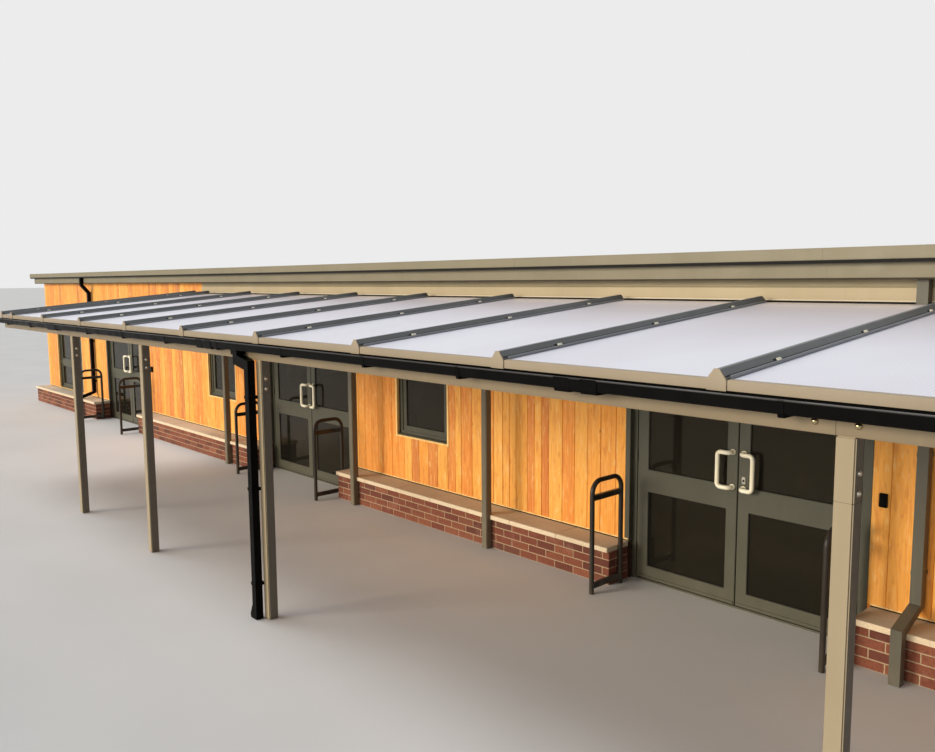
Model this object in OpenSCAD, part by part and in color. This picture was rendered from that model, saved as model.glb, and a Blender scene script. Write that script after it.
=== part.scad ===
// Single-storey school building with cedar boarding, three double doors and a glazed canopy
// All sizes are in millimetres. X runs along the front, Y into the building, Z up from the ground.
// Inside the modules Y is measured from the face of the front boarding; seat() then centres the plan.

/* [Building] */
// Length of the front wall
building_l = 22360; // [21600:20:24000]
// Depth from the front boarding to the rear boarding
building_d = 8200; // [7000:100:9600]
// Thickness of the outside walls
wall_t = 300; // [240:10:360]
// Height of the wall tops, where the roof sits
wall_h = 2700; // [2640:20:2760]
// Height of the level floor above the ground outside
floor_t = 20; // [15:5:30]

/* [Plinth] */
// Height of the brickwork, four courses of 75
plinth_h = 300; // [300:75:300]
// How far the front brickwork stands out as a ledge
plinth_out = 280; // [240:10:290]
// Thickness of the stone coping
coping_t = 45; // [40:5:60]
// How far the coping oversails the brickwork
coping_nose = 30; // [20:5:40]
// How far the brickwork of the other walls stands out
base_out = 50; // [40:5:60]
// Where the ledge stops, left and right of the middle of a doorway
ledge_left = 1035; // [1035:5:1060]
ledge_right = 1100; // [1095:5:1120]

/* [Doors] */
// Distance between the middles of the double doors
door_pitch = 6370; // [6200:10:6500]
// Half the width of a door frame
frame_half = 1030; // [1020:5:1045]
// Height of a door frame
door_h = 2100; // [2060:10:2140]
// Face width of the fixed frame
jamb_w = 44; // [40:1:48]
// Gap left all round a closed leaf
leaf_gap = 6; // [5:0.5:7]
// Gap between the two closed leaves
meeting_gap = 10; // [9:0.5:12]
// Thickness of a leaf
leaf_t = 50; // [44:1:54]
// How far the leaf faces sit behind the boarding
leaf_set = 55; // [50:1:60]
// Width of the meeting stile and the top rail
stile_w = 96; // [88:1:104]
// Width of the stile on the hinge side
hang_w = 112; // [104:1:120]
// Underside and top of the middle rail
mid_rail = [820, 1020];
// Height of the top of the bottom rail
bottom_rail_h = 140; // [120:5:200]

/* [Windows] */
// Middles of the front windows
window_x = [-9660, -2500, 2416, 9660];
// Widths of the front windows
window_w = [1550, 900, 900, 1550];
// Sill heights of the front windows
window_sill = [345, 885, 885, 345];
// Middles of the rear windows
rear_window_x = [-9660, -6370, -2500, 2500, 6370, 9660];
// Width of the rear windows
rear_window_w = 1550; // [1200:50:1800]
// Face width of a window's outer frame
window_frame_w = 54; // [48:1:60]
// Face width of the sash inside it
sash_w = 60; // [50:1:70]
// Height of the transom in the tall windows
transom_z = 935; // [900:5:980]

/* [Roof] */
// Top of the roof edge
roof_top = 2910; // [2880:10:2960]
// Height where the roof's upper edge sits on the fascia
tier_z = 2825; // [2800:5:2850]
// How far the fascia stands out from the boarding
fascia_out = 155; // [140:5:180]
// How far the upper edge stands out from the boarding
edge_out = 230; // [200:5:260]

/* [Canopy] */
// Left end and right end of the front beam
canopy_ends = [-3190, 10660];
// Underside of the front beam
beam_z = 2095; // [2080:5:2150]
// Depth of the front beam and of the wall plate
beam_h = 100; // [90:5:120]
// Face of the front beam and posts, in front of the boarding
canopy_front = 2860; // [2800:10:2900]
// Size of the square front posts
post_w = 80; // [70:5:90]
// Size of the square rear posts
rear_post_w = 75; // [70:5:80]
// Middles of the front posts
post_x = [-450, 1563, 3900, 8452];
// Middles of the rear posts
rear_post_x = [-1740, 1508, 3816, 7448, 10500];
// Pitch of the glazing, in degrees
pitch = 5; // [4:0.5:6]
// Middle of the first whole bay's glazing bar
first_bar_x = -2629; // [-2640:1:-2610]
// Distance between the glazing bars
bar_pitch = 1319; // [1310:1:1325]
// Middle of the glazing bar at the left verge
verge_bar_x = -3105; // [-3120:5:-3090]
// Thickness of the opal sheets
sheet_t = 25; // [16:1:32]

/* [Hidden] */

BOARD = [0.86, 0.58, 0.30];
BRICK = [0.50, 0.26, 0.20];
STONE = [0.74, 0.66, 0.54];
GREY = [0.34, 0.35, 0.31];
SAGE = [0.58, 0.57, 0.49];
BEIGE = [0.66, 0.61, 0.51];
DARK = [0.29, 0.31, 0.33];
BLACK = [0.06, 0.06, 0.07];
IVORY = [0.93, 0.89, 0.78];
GLASS = [0.30, 0.36, 0.38, 0.5];
OPAL = [0.90, 0.91, 0.94, 0.8];
FLOOR = [0.55, 0.54, 0.52];

door_x = [-door_pitch, 0, door_pitch];
half_l = building_l / 2;
gutter_w = 112;
gutter_h = 60;
gutter_lip_z = 2229;
union_skin = 3;
front_y = -canopy_front - gutter_w - 2 * union_skin;
rear_y = building_d + edge_out;
mid_y = (front_y + rear_y) / 2;

bar_x = concat([verge_bar_x], [for (i = [0:10]) first_bar_x + i * bar_pitch]);
bar_end = [-2914, -100];
// Height of the top of the opal sheets at the front end of the bars, and at any Y
sheet_front_z = 2276;
function sheet_z(y) = sheet_front_z + (y - bar_end[0]) * tan(pitch);
rafter_w = 50;
rear_post_y = -plinth_out - rear_post_w / 2;
plate_top = sheet_z(rear_post_y) - sheet_t - 55;

module seat() {
  translate([0, -mid_y, 0]) children();
}

// A box given by its lowest and highest corners
module span(low, high) {
  translate(low) cube(high - low);
}

// A plain length of wall in the XZ plane with rectangular holes, each [left, right, bottom, top]
module pierced_wall(x0, x1, y0, y1, z1, holes) {
  difference() {
    span([x0, y0, 0], [x1, y1, z1]);
    for (h = holes) span([h[0], y0 - 1, h[2]], [h[1], y1 + 1, h[3]]);
  }
}

function window_hole(i) = [
  window_x[i] - window_w[i] / 2, window_x[i] + window_w[i] / 2, window_sill[i], door_h
];
function rear_hole(i) = [
  rear_window_x[i] - rear_window_w / 2, rear_window_x[i] + rear_window_w / 2, window_sill[1], door_h
];

module floor_slab() {
  color(FLOOR) seat()
    span([-half_l + wall_t, wall_t, 0], [half_l - wall_t, building_d - wall_t, floor_t]);
}

// The front wall in four lengths, parted by the doorways; each has one window
module front_wall(i) {
  left = i == 0 ? -half_l : door_x[i - 1] + frame_half;
  right = i == 3 ? half_l : door_x[i] - frame_half;
  color(BOARD) seat() pierced_wall(left, right, 0, wall_t, wall_h, [window_hole(i)]);
}

module wall_over_doors() {
  color(BOARD) seat() for (x = door_x)
    span([x - frame_half, 0, door_h], [x + frame_half, wall_t, wall_h]);
}

module back_wall() {
  color(BOARD) seat()
    pierced_wall(-half_l, half_l, building_d - wall_t, building_d, wall_h,
      [for (i = [0:len(rear_window_x) - 1]) rear_hole(i)]);
}

module end_wall(side) {
  color(BOARD) seat()
    translate([side * (half_l - wall_t / 2) - wall_t / 2, wall_t, 0])
      cube([wall_t, building_d - 2 * wall_t, wall_h]);
}

// The lengths of ledge between the doorways, each [left, right]
ledges = [
  [-half_l, door_x[0] - ledge_left],
  [door_x[0] + ledge_right, door_x[1] - ledge_left],
  [door_x[1] + ledge_right, door_x[2] - ledge_left],
  [door_x[2] + ledge_right, half_l]
];

module base_course(out, z0, z1) {
  span([-half_l - out, 0, z0], [-half_l, building_d + out, z1]);
  span([half_l, 0, z0], [half_l + out, building_d + out, z1]);
  span([-half_l, building_d, z0], [half_l, building_d + out, z1]);
}

module brick_plinth() {
  color(BRICK) seat() {
    for (l = ledges) span([l[0], -plinth_out, 0], [l[1], 0, plinth_h]);
    base_course(base_out, 0, plinth_h);
  }
}

module coping_profile() {
  polygon([[-plinth_out - coping_nose, 0], [0, 0], [0, coping_t], [-plinth_out - coping_nose, coping_t - 5]]);
}

module stone_coping() {
  color(STONE) seat() difference() {
    union() {
      for (l = ledges) translate([l[0], 0, plinth_h])
        rotate([90, 0, 90]) linear_extrude(l[1] - l[0]) coping_profile();
      base_course(base_out + 15, plinth_h, plinth_h + coping_t);
    }
    // the coping is cut round each rear post
    for (x = rear_post_x)
      span([x - rear_post_w / 2 - 1, -plinth_out - coping_nose - 1, plinth_h - 1],
        [x + rear_post_w / 2 + 1, -plinth_out, plinth_h + coping_t + 1]);
  }
}

// The lights of a window, each [bottom, top], parted by a transom where there is one
function lights(z0, z1, transom) = let (low = z0 + window_frame_w, high = z1 - window_frame_w)
  transom > 0 ? [[low, transom - window_frame_w / 2], [transom + window_frame_w / 2, high]] : [[low, high]];

// A rectangular ring in the XZ plane, centred on X, with bars of one width
module ring(w, z0, z1, bar, y0, y1) {
  difference() {
    span([-w / 2, y0, z0], [w / 2, y1, z1]);
    span([-w / 2 + bar, y0 - 1, z0 + bar], [w / 2 - bar, y1 + 1, z1 - bar]);
  }
}

// One window: an outer frame, a sash set back in each light, and a sloping sill in front
module window_frame(w, z0, z1, transom) {
  inner = w - 2 * window_frame_w;
  depth = [40, 105];
  ring(w, z0, z1, window_frame_w, depth[0], depth[1]);
  half_bar = window_frame_w / 2;
  if (transom > 0)
    span([-inner / 2, depth[0], transom - half_bar], [inner / 2, depth[1], transom + half_bar]);
  for (l = lights(z0, z1, transom)) ring(inner, l[0], l[1], sash_w, depth[0] + 12, depth[1] - 8);
  translate([-w / 2, 0, z0]) rotate([90, 0, 90]) linear_extrude(w)
    polygon([[2, 0], [depth[0], 0], [depth[0], 24], [2, 14]]);
}

module front_window_frames() {
  color(GREY) seat() for (i = [0:3]) translate([window_x[i], 0, 0])
    window_frame(window_w[i], window_sill[i], door_h, window_w[i] > 1000 ? transom_z : 0);
}

module rear_window_frames() {
  color(GREY) seat() for (x = rear_window_x) translate([x, building_d, 0])
    mirror([0, 1, 0]) window_frame(rear_window_w, window_sill[1], door_h, 0);
}

// The glass of one window, a pane in each light
module window_panes(w, z0, z1, transom) {
  side = w / 2 - window_frame_w - sash_w;
  for (l = lights(z0, z1, transom)) span([-side, 66, l[0] + sash_w], [side, 90, l[1] - sash_w]);
}

module window_glass() {
  color(GLASS) seat() {
    for (i = [0:3]) translate([window_x[i], 0, 0])
      window_panes(window_w[i], window_sill[i], door_h, window_w[i] > 1000 ? transom_z : 0);
    for (x = rear_window_x) translate([x, building_d, 0]) mirror([0, 1, 0])
      window_panes(rear_window_w, window_sill[1], door_h, 0);
  }
}

module roof_deck() {
  color(SAGE) seat() {
    span([-half_l - fascia_out + 20, -fascia_out + 20, wall_h],
      [half_l + fascia_out - 20, building_d + fascia_out - 20, roof_top - 25]);
  }
}

// A rectangular ring round the roof, between two offsets from the walls
module roof_ring(inner, outer, z0, z1) {
  difference() {
    span([-half_l - outer, -outer, z0], [half_l + outer, building_d + outer, z1]);
    span([-half_l - inner, -inner, z0 - 1], [half_l + inner, building_d + inner, z1 + 1]);
  }
}

module roof_fascia() {
  color(SAGE) seat() roof_ring(fascia_out - 20, fascia_out, wall_h, tier_z);
}

module roof_edge() {
  color(SAGE) seat() {
    roof_ring(fascia_out - 20, edge_out, tier_z, roof_top);
  }
}

// Pale flashing with a step in its face, which closes the top of the boarding over the canopy
module wall_flashing() {
  color(BEIGE) seat() translate([bar_x[0] + 60, 0, 0])
    rotate([90, 0, 90]) linear_extrude(bar_x[len(bar_x) - 1] - bar_x[0] - 10)
      polygon([
        [0, 2532], [-12, 2532], [-16, 2540], [-16, 2632], [-6, 2638], [-6, wall_h - 8], [0, wall_h - 8]
      ]);
}

// Pressed trim: folds from the boarding into the reveal and meets the frame's face
module trim_profile() {
  polygon([[-4, frame_y], [-4, -4], [46, -4], [46, 0], [0, 0], [0, frame_y]]);
}

// Fixed frame of a double door, with pressed trims round it and three hinges a side
// The left-hand trim stands on the coping, which runs on in front of it
module door_frame(i) {
  color(GREY) seat() translate([door_x[i], 0, 0]) {
    difference() {
      span([-frame_half, frame_y, 0], [frame_half, 115, door_h]);
      span([-frame_half + jamb_w, 0, sill_top], [frame_half - jamb_w, 200, door_h - jamb_w]);
    }
    for (side = [0, 1]) mirror([side, 0, 0]) {
      foot = side * (plinth_h + coping_t);
      translate([frame_half, 0, foot]) linear_extrude(door_h - foot) trim_profile();
      span([frame_half - 1, -4, door_h - 1], [frame_half + 46, 0, door_h + 46]);
      for (z = [240, 1080, 1860]) translate([hinge_x, hinge_y, z]) {
        cylinder(h = 100, r = 6, $fn = 32);
        span([0, 3, 0], [32, frame_y - hinge_y, 100]);
      }
    }
    translate([-frame_half, 0, door_h]) rotate([0, 90, 0]) mirror([1, 0, 0])
      linear_extrude(2 * frame_half) trim_profile();
  }
}

hinge_x = frame_half - jamb_w - leaf_gap / 2;
hinge_y = leaf_set - 11;
frame_y = leaf_set - 3;
sill_top = floor_t - 5;
leaf_out = frame_half - jamb_w - leaf_gap;
leaf_in = meeting_gap / 2;
leaf_top = door_h - jamb_w - leaf_gap;
leaf_foot = floor_t + 1;

// The two panes of a leaf, each [bottom, top]
panes = [[bottom_rail_h, mid_rail[0]], [mid_rail[1], leaf_top - stile_w]];

// A leaf's pieces are drawn for the right-hand leaf and mirrored for the left
module hung(i, side) {
  seat() translate([door_x[i], 0, 0]) mirror([side < 0 ? 1 : 0, 0, 0]) children();
}

module door_leaf(i, side) {
  color(GREY) hung(i, side) difference() {
    span([leaf_in, leaf_set, leaf_foot], [leaf_out, leaf_set + leaf_t, leaf_top]);
    for (p = panes)
      span([leaf_in + stile_w, 0, p[0]], [leaf_out - hang_w, 200, p[1]]);
  }
}

module door_glass(i, side) {
  color(GLASS) hung(i, side) for (p = panes)
    span([leaf_in + stile_w, leaf_set + 13, p[0]], [leaf_out - hang_w, leaf_set + 37, p[1]]);
}

// Rigid move that lays the local X, Y and Z axes along three given directions
module aligned(at, x, y, z) {
  multmatrix([[x[0], y[0], z[0], at[0]], [x[1], y[1], z[1], at[1]], [x[2], y[2], z[2], at[2]]]) children();
}

// Round tube bent square through a list of points, with an elbow of radius bend at each inner one
module bent_tube(points, r, bend) {
  last = len(points) - 1;
  way = [for (i = [0:last - 1]) (points[i + 1] - points[i]) / norm(points[i + 1] - points[i])];
  for (i = [0:last - 1]) {
    start = points[i] + way[i] * (i > 0 ? bend : 0);
    stop = points[i + 1] - way[i] * (i < last - 1 ? bend : 0);
    side = i > 0 ? way[i - 1] : way[i + 1];
    aligned(start, side, cross(way[i], side), way[i]) cylinder(h = norm(stop - start), r = r, $fn = 32);
  }
  for (i = [1:last - 1])
    aligned(points[i] + bend * (way[i] - way[i - 1]), -way[i], way[i - 1], cross(-way[i], way[i - 1]))
      rotate_extrude(angle = 90, $fn = 32) translate([bend, 0]) circle(r = r, $fn = 32);
}

// Cranked pull: two feet on the meeting stile carry an upright grip sideways over the glass
module door_handle(i, side) {
  foot_x = leaf_in + 45;
  grip_x = leaf_in + 150;
  grip_y = leaf_set - 60;
  rise = [1010, 1300];
  color(IVORY) hung(i, side) {
    bent_tube([
      [foot_x, leaf_set, rise[0]], [foot_x, grip_y, rise[0]], [grip_x, grip_y, rise[0]],
      [grip_x, grip_y, rise[1]], [foot_x, grip_y, rise[1]], [foot_x, leaf_set, rise[1]]
    ], 18, 32);
    for (z = rise) translate([foot_x, leaf_set, z]) rotate([90, 0, 0]) cylinder(h = 6, r = 24, $fn = 32);
  }
}

module front_posts() {
  color(BEIGE) seat() for (x = post_x)
    span([x - post_w / 2, -canopy_front, 0], [x + post_w / 2, -canopy_front + post_w, beam_z]);
}

module rear_posts() {
  color(GREY) seat() for (x = rear_post_x)
    span([x - rear_post_w / 2, rear_post_y - rear_post_w / 2, 0],
      [x + rear_post_w / 2, rear_post_y + rear_post_w / 2, plate_top - beam_h]);
}

module front_beam() {
  color(BEIGE) seat()
    span([canopy_ends[0], -canopy_front, beam_z],
      [canopy_ends[1], -canopy_front + post_w, beam_z + beam_h - 12]);
}

module wall_plate() {
  color(GREY) seat()
    span([canopy_ends[0], rear_post_y - rear_post_w / 2, plate_top - beam_h],
      [canopy_ends[1], rear_post_y + rear_post_w / 2, plate_top]);
}

// Side view of a rafter: its top carries the sheets, and it is cut level over the beam and the plate
module rafter_profile() {
  under = sheet_t + 55;
  beam_top = beam_z + beam_h - 12;
  polygon([
    [-canopy_front, beam_top], [-canopy_front + post_w, beam_top],
    [-canopy_front + post_w, sheet_z(-canopy_front + post_w) - under],
    [rear_post_y - rear_post_w / 2, sheet_z(rear_post_y - rear_post_w / 2) - under],
    [rear_post_y - rear_post_w / 2, plate_top], [rear_post_y + rear_post_w / 2, plate_top],
    [bar_end[1], sheet_z(bar_end[1]) - under],
    [bar_end[1], sheet_z(bar_end[1]) - sheet_t], [-canopy_front, sheet_z(-canopy_front) - sheet_t]
  ]);
}

module glazing_bars() {
  color(DARK) seat() for (x = bar_x) translate([x - rafter_w / 2, 0, 0])
    rotate([90, 0, 90]) linear_extrude(rafter_w) rafter_profile();
}

// Ridge-shaped capping that clamps the sheets down along each bar, cut plumb at both ends
module bar_caps() {
  w = 46;
  rise = 46;
  spare = 20;
  length = bar_end[1] - bar_end[0] + 2 * spare;
  color(DARK) seat() for (x = bar_x) intersection() {
    translate([x, bar_end[0] - spare, sheet_z(bar_end[0] - spare)]) rotate([pitch, 0, 0]) rotate([90, 0, 180])
      linear_extrude(length / cos(pitch))
        polygon([[-w, 0], [w, 0], [w, 7], [12, rise], [-12, rise], [-w, 7]]);
    span([x - w - 1, bar_end[0], 0], [x + w + 1, bar_end[1], roof_top]);
  }
}

module bar_end_caps() {
  w = 48;
  color(BEIGE) seat() for (x = bar_x)
    translate([x, bar_end[0], sheet_front_z]) rotate([90, 0, 0]) linear_extrude(5)
      polygon([[-w, -45], [w, -45], [w, 2], [13, 49], [-13, 49], [-w, 2]]);
}

module canopy_sheets() {
  gap = 12;
  skim = 0.05;
  y0 = bar_end[0] + 22;
  y1 = bar_end[1] - 2;
  color(OPAL) seat() for (i = [0:len(bar_x) - 2])
    translate([bar_x[i] + gap / 2, 0, 0]) rotate([90, 0, 90]) linear_extrude(bar_x[i + 1] - bar_x[i] - gap)
      polygon([
        [y0, sheet_z(y0) - sheet_t], [y1, sheet_z(y1) - sheet_t],
        [y1, sheet_z(y1) - skim], [y0, sheet_z(y0) - skim]
      ]);
}

module eaves_trim() {
  w = 48;
  nose = bar_end[0] + 34;
  color(BEIGE) seat() for (i = [0:len(bar_x) - 2])
    translate([bar_x[i] + w, 0, 0])
      rotate([90, 0, 90]) linear_extrude(bar_x[i + 1] - bar_x[i] - 2 * w)
        polygon([
          [bar_end[0], 2234], [bar_end[0] + 20, 2234], [bar_end[0] + 20, sheet_z(bar_end[0] + 20)],
          [nose, sheet_z(nose)], [nose, sheet_z(nose) + 3], [bar_end[0], sheet_z(bar_end[0]) + 3]
        ]);
}

// Square-line gutter section with a rolled front lip; skin and drop grow it into a bracket or a union
module gutter_profile(skin = 0, drop = 0) {
  wall = 4 + skin;
  back = -canopy_front - union_skin + skin;
  front = -canopy_front - union_skin - gutter_w - skin;
  floor_z = gutter_lip_z - gutter_h;
  polygon([
    [back, floor_z - drop], [back, gutter_lip_z + 4],
    [back - wall, gutter_lip_z + 4], [back - wall, floor_z + 6], [back - wall - 4, floor_z + 4],
    [front + wall + 12, floor_z + 4], [front + wall + 5, floor_z + 8], [front + wall, gutter_lip_z - 8],
    [front + 10, gutter_lip_z - 8], [front + 10, gutter_lip_z], [front, gutter_lip_z],
    [front + 5, floor_z + 6], [front + 12, floor_z - drop]
  ]);
}

module gutter_length(x0, x1, skin = 0, drop = 0) {
  translate([x0, 0, 0]) rotate([90, 0, 90]) linear_extrude(x1 - x0) gutter_profile(skin, drop);
}

// Closed plate over the end of the gutter
module stop_end(x) {
  back = -canopy_front - union_skin;
  front = back - gutter_w;
  floor_z = gutter_lip_z - gutter_h;
  translate([x, 0, 0]) rotate([90, 0, 90]) linear_extrude(5)
    polygon([
      [back, floor_z], [back, gutter_lip_z + 4], [back - 6, gutter_lip_z + 4], [back - 10, gutter_lip_z],
      [front, gutter_lip_z], [front + 5, floor_z + 6], [front + 12, floor_z]
    ]);
}

module gutter() {
  ends = [canopy_ends[0] - 30, canopy_ends[1] + 30];
  // fixing brackets, and the unions that join its four-metre lengths, with a ring each side of the joint
  brackets = concat([for (x = [-2640:1010:5440]) x], [6340, 8240, 9250, 10260]);
  unions = [for (x = [-810:4000:7190]) x];
  color(BLACK) seat() {
    gutter_length(ends[0], ends[1]);
    stop_end(ends[0]);
    stop_end(ends[1] - 5);
    for (x = brackets) gutter_length(x - 14, x + 14, 2, 14);
    for (x = unions) {
      gutter_length(x - 136, x + 136, 2, 8);
      for (side = [-1, 1]) gutter_length(x + side * 84 - 50, x + side * 84 + 50, union_skin, 13);
    }
  }
}

// Square pipe drawn as its side view and extruded across
module flat_pipe(width, outline) {
  translate([-width / 2, 0, 0]) rotate([90, 0, 90]) linear_extrude(width) polygon(outline);
}

// From the gutter's outlet the pipe steps sideways to run down the face of a post, and ends in a shoe
module gutter_downpipe() {
  w = 62;
  outlet_x = 3660;
  pipe_x = 3838;
  out_top = gutter_lip_z - gutter_h;
  shoe = [30, 120];
  color(BLACK) seat() translate([0, -canopy_front - 15 - w, 0]) {
    translate([0, w, 0]) rotate([90, 0, 0]) linear_extrude(w) polygon([
      [outlet_x - w / 2, out_top], [outlet_x - w / 2, out_top - 115],
      [pipe_x - w / 2, out_top - 150], [pipe_x - w / 2, shoe[1]],
      [pipe_x - w / 2 - 38, shoe[0]], [pipe_x - w / 2 - 30, 0], [pipe_x + w / 2, 0],
      [pipe_x + w / 2, out_top - 78], [outlet_x + w / 2, out_top - 42], [outlet_x + w / 2, out_top]
    ]);
    span([outlet_x - 50, -6, out_top - 40], [outlet_x + 50, w + 6, out_top]);
    for (z = [280, 1055, 1790]) span([pipe_x - w / 2 - 5, -4, z], [pipe_x + w / 2 + 5, w + 15, z + 26]);
  }
}

// Rainwater pipe down the front wall, stepping out over the coping to stand clear of the brickwork
function pipe_back(d, top, hop) = let (
  near = -22,
  far = -plinth_out - coping_nose - 22,
  step = 450
) concat(
  hop ? [[-fascia_out, top], [-fascia_out, top - 160], [near, top - 320]] : [[near, top]],
  [[near, step], [far, step - 110], [far, 0], [far - d, 0], [far - d, step - 65], [near - d, step + 30]],
  hop ? [[near - d, top - 340], [-fascia_out - d, top - 180], [-fascia_out - d, top]] : [[near - d, top]]
);

module wall_pipe(x, d, top, hop) {
  translate([x, 0, 0]) {
    flat_pipe(d, pipe_back(d, top, hop));
    for (z = [680, 1500, 2200]) span([-d / 2 - 2, -22 - d - 2, z], [d / 2 + 2, 0, z + 30]);
  }
}

module black_downpipe() {
  color(BLACK) seat() wall_pipe(-8110, 65, tier_z, true);
}

// Its upper end stands a little to the left and joins the rest in a short box below the sheets
module grey_downpipe() {
  x = 7800;
  top_x = 7742;
  d = 74;
  jog = [2380, 2450];
  color(GREY) seat() {
    wall_pipe(x, d, jog[1], false);
    span([top_x - d / 2, -22 - d, jog[0]], [top_x + d / 2, -22, wall_h]);
  }
}

// Guard hoop of bent tube beside a doorway, square to the wall, with two rails of flat section
module hoop() {
  tube = 21;
  legs = [-550, -150];
  top = 990;
  rail = [15, 24];
  bent_tube([[0, legs[0], 0], [0, legs[0], top], [0, legs[1], top], [0, legs[1], 0]], tube, 110);
  for (z = [70, 845]) span([-rail[0], legs[0], z - rail[1]], [rail[0], legs[1], z + rail[1]]);
}

module door_hoops() {
  color(BLACK) seat() for (x = door_x, side = [-1, 1]) translate([x + side * 1010, 0, 0]) hoop();
}

module door_buttons() {
  color(BLACK) seat() for (x = [door_x[0] + 1170, door_x[2] + 1160])
    span([x - 28, -25, 1090], [x + 27, 0, 1190]);
}

floor_slab();
front_wall(0);  // front_wall_1
front_wall(1);  // front_wall_2
front_wall(2);  // front_wall_3
front_wall(3);  // front_wall_4
wall_over_doors();
back_wall();
end_wall(-1);  // left_wall
end_wall(1);  // right_wall
brick_plinth();
stone_coping();
front_window_frames();
rear_window_frames();
window_glass();
roof_deck();
roof_fascia();
roof_edge();
wall_flashing();
door_frame(0);  // door_1_frame
door_frame(1);  // door_2_frame
door_frame(2);  // door_3_frame
door_leaf(0, -1);  // door_1_left_leaf
door_glass(0, -1);  // door_1_left_glass
door_handle(0, -1);  // door_1_left_handle
door_leaf(0, 1);  // door_1_right_leaf
door_glass(0, 1);  // door_1_right_glass
door_handle(0, 1);  // door_1_right_handle
door_leaf(1, -1);  // door_2_left_leaf
door_glass(1, -1);  // door_2_left_glass
door_handle(1, -1);  // door_2_left_handle
door_leaf(1, 1);  // door_2_right_leaf
door_glass(1, 1);  // door_2_right_glass
door_handle(1, 1);  // door_2_right_handle
door_leaf(2, -1);  // door_3_left_leaf
door_glass(2, -1);  // door_3_left_glass
door_handle(2, -1);  // door_3_left_handle
door_leaf(2, 1);  // door_3_right_leaf
door_glass(2, 1);  // door_3_right_glass
door_handle(2, 1);  // door_3_right_handle
front_posts();
rear_posts();
front_beam();
wall_plate();
glazing_bars();
bar_caps();
bar_end_caps();
canopy_sheets();
eaves_trim();
gutter();
gutter_downpipe();
black_downpipe();
grey_downpipe();
door_hoops();
door_buttons();
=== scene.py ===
# %% [markdown]
# # Dressing a single-storey school building
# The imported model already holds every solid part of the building: walls, doors, roof, canopy and pipes.
# This lesson gives those parts their real surfaces, in the order in which a site would finish them.
# All sizes are in metres, in the same frame as the solids, so that nothing has to be fitted by eye.

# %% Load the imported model
import math
import random

import bmesh
import bpy
from mathutils import Matrix, Vector


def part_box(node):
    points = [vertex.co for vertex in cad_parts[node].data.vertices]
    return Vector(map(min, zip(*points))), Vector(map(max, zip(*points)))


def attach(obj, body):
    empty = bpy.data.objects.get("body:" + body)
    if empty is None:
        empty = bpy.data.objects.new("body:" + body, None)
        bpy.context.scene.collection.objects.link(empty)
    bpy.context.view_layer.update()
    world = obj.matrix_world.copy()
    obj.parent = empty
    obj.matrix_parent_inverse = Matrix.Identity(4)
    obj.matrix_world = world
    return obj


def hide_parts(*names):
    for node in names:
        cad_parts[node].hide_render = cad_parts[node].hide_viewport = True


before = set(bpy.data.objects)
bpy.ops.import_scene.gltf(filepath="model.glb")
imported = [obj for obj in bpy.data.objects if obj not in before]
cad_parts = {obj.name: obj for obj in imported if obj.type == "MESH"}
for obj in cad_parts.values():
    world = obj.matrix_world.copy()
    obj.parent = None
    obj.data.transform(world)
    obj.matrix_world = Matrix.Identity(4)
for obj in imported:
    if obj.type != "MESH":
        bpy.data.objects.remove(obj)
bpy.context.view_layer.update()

# %% [markdown]
# ## The camera
# The picture was taken from a raised spot in front of the right-hand end, looking along the front.
# A camera could be aimed with a Track To constraint, but its slight lean would be lost.
# Three angles and a place, worked out from edges whose sizes are known, give the view exactly.

# %% Set the camera
EYE = Vector((9.82, -8.8245, 2.7047))
TURN, DIP, LEAN = 0.8263, 0.1133, -0.0072
ahead = Vector((-math.sin(TURN) * math.cos(DIP), math.cos(TURN) * math.cos(DIP), -math.sin(DIP)))
level = Vector((math.cos(TURN), math.sin(TURN), 0))
upright = level.cross(ahead)
across = math.cos(LEAN) * level + math.sin(LEAN) * upright
upward = math.cos(LEAN) * upright - math.sin(LEAN) * level
lens = bpy.data.cameras.new("camera")
lens.sensor_width = 36
lens.lens = 32.5
lens.clip_end = 2000
camera = bpy.data.objects.new("camera", lens)
bpy.context.scene.collection.objects.link(camera)
camera.matrix_world = Matrix.Translation(EYE) @ Matrix((across, upward, -ahead)).transposed().to_4x4()
bpy.context.scene.camera = camera
bpy.context.scene.view_settings.view_transform = "Standard"
print("camera looks along", [round(v, 3) for v in ahead])

# %% [markdown]
# ## Small tools for finishes
# Every finish here is procedural: noise, ramps and bump nodes in front of one Principled shader.
# Building each node tree by hand in code is long, so a small class wires the usual nodes in one line each.
# Colours are written as a screen shows them, and tint() turns them into the light values of a shader,
# by the curve that screens use.

# %% Colours and the Finish class
def tint(red, green, blue):
    """A screen colour, 0 to 255 a channel, as the light values that shaders use."""
    def channel(value):
        value /= 255
        return value / 12.92 if value <= 0.04045 else ((value + 0.055) / 1.055) ** 2.4
    return (channel(red), channel(green), channel(blue), 1.0)


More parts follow.
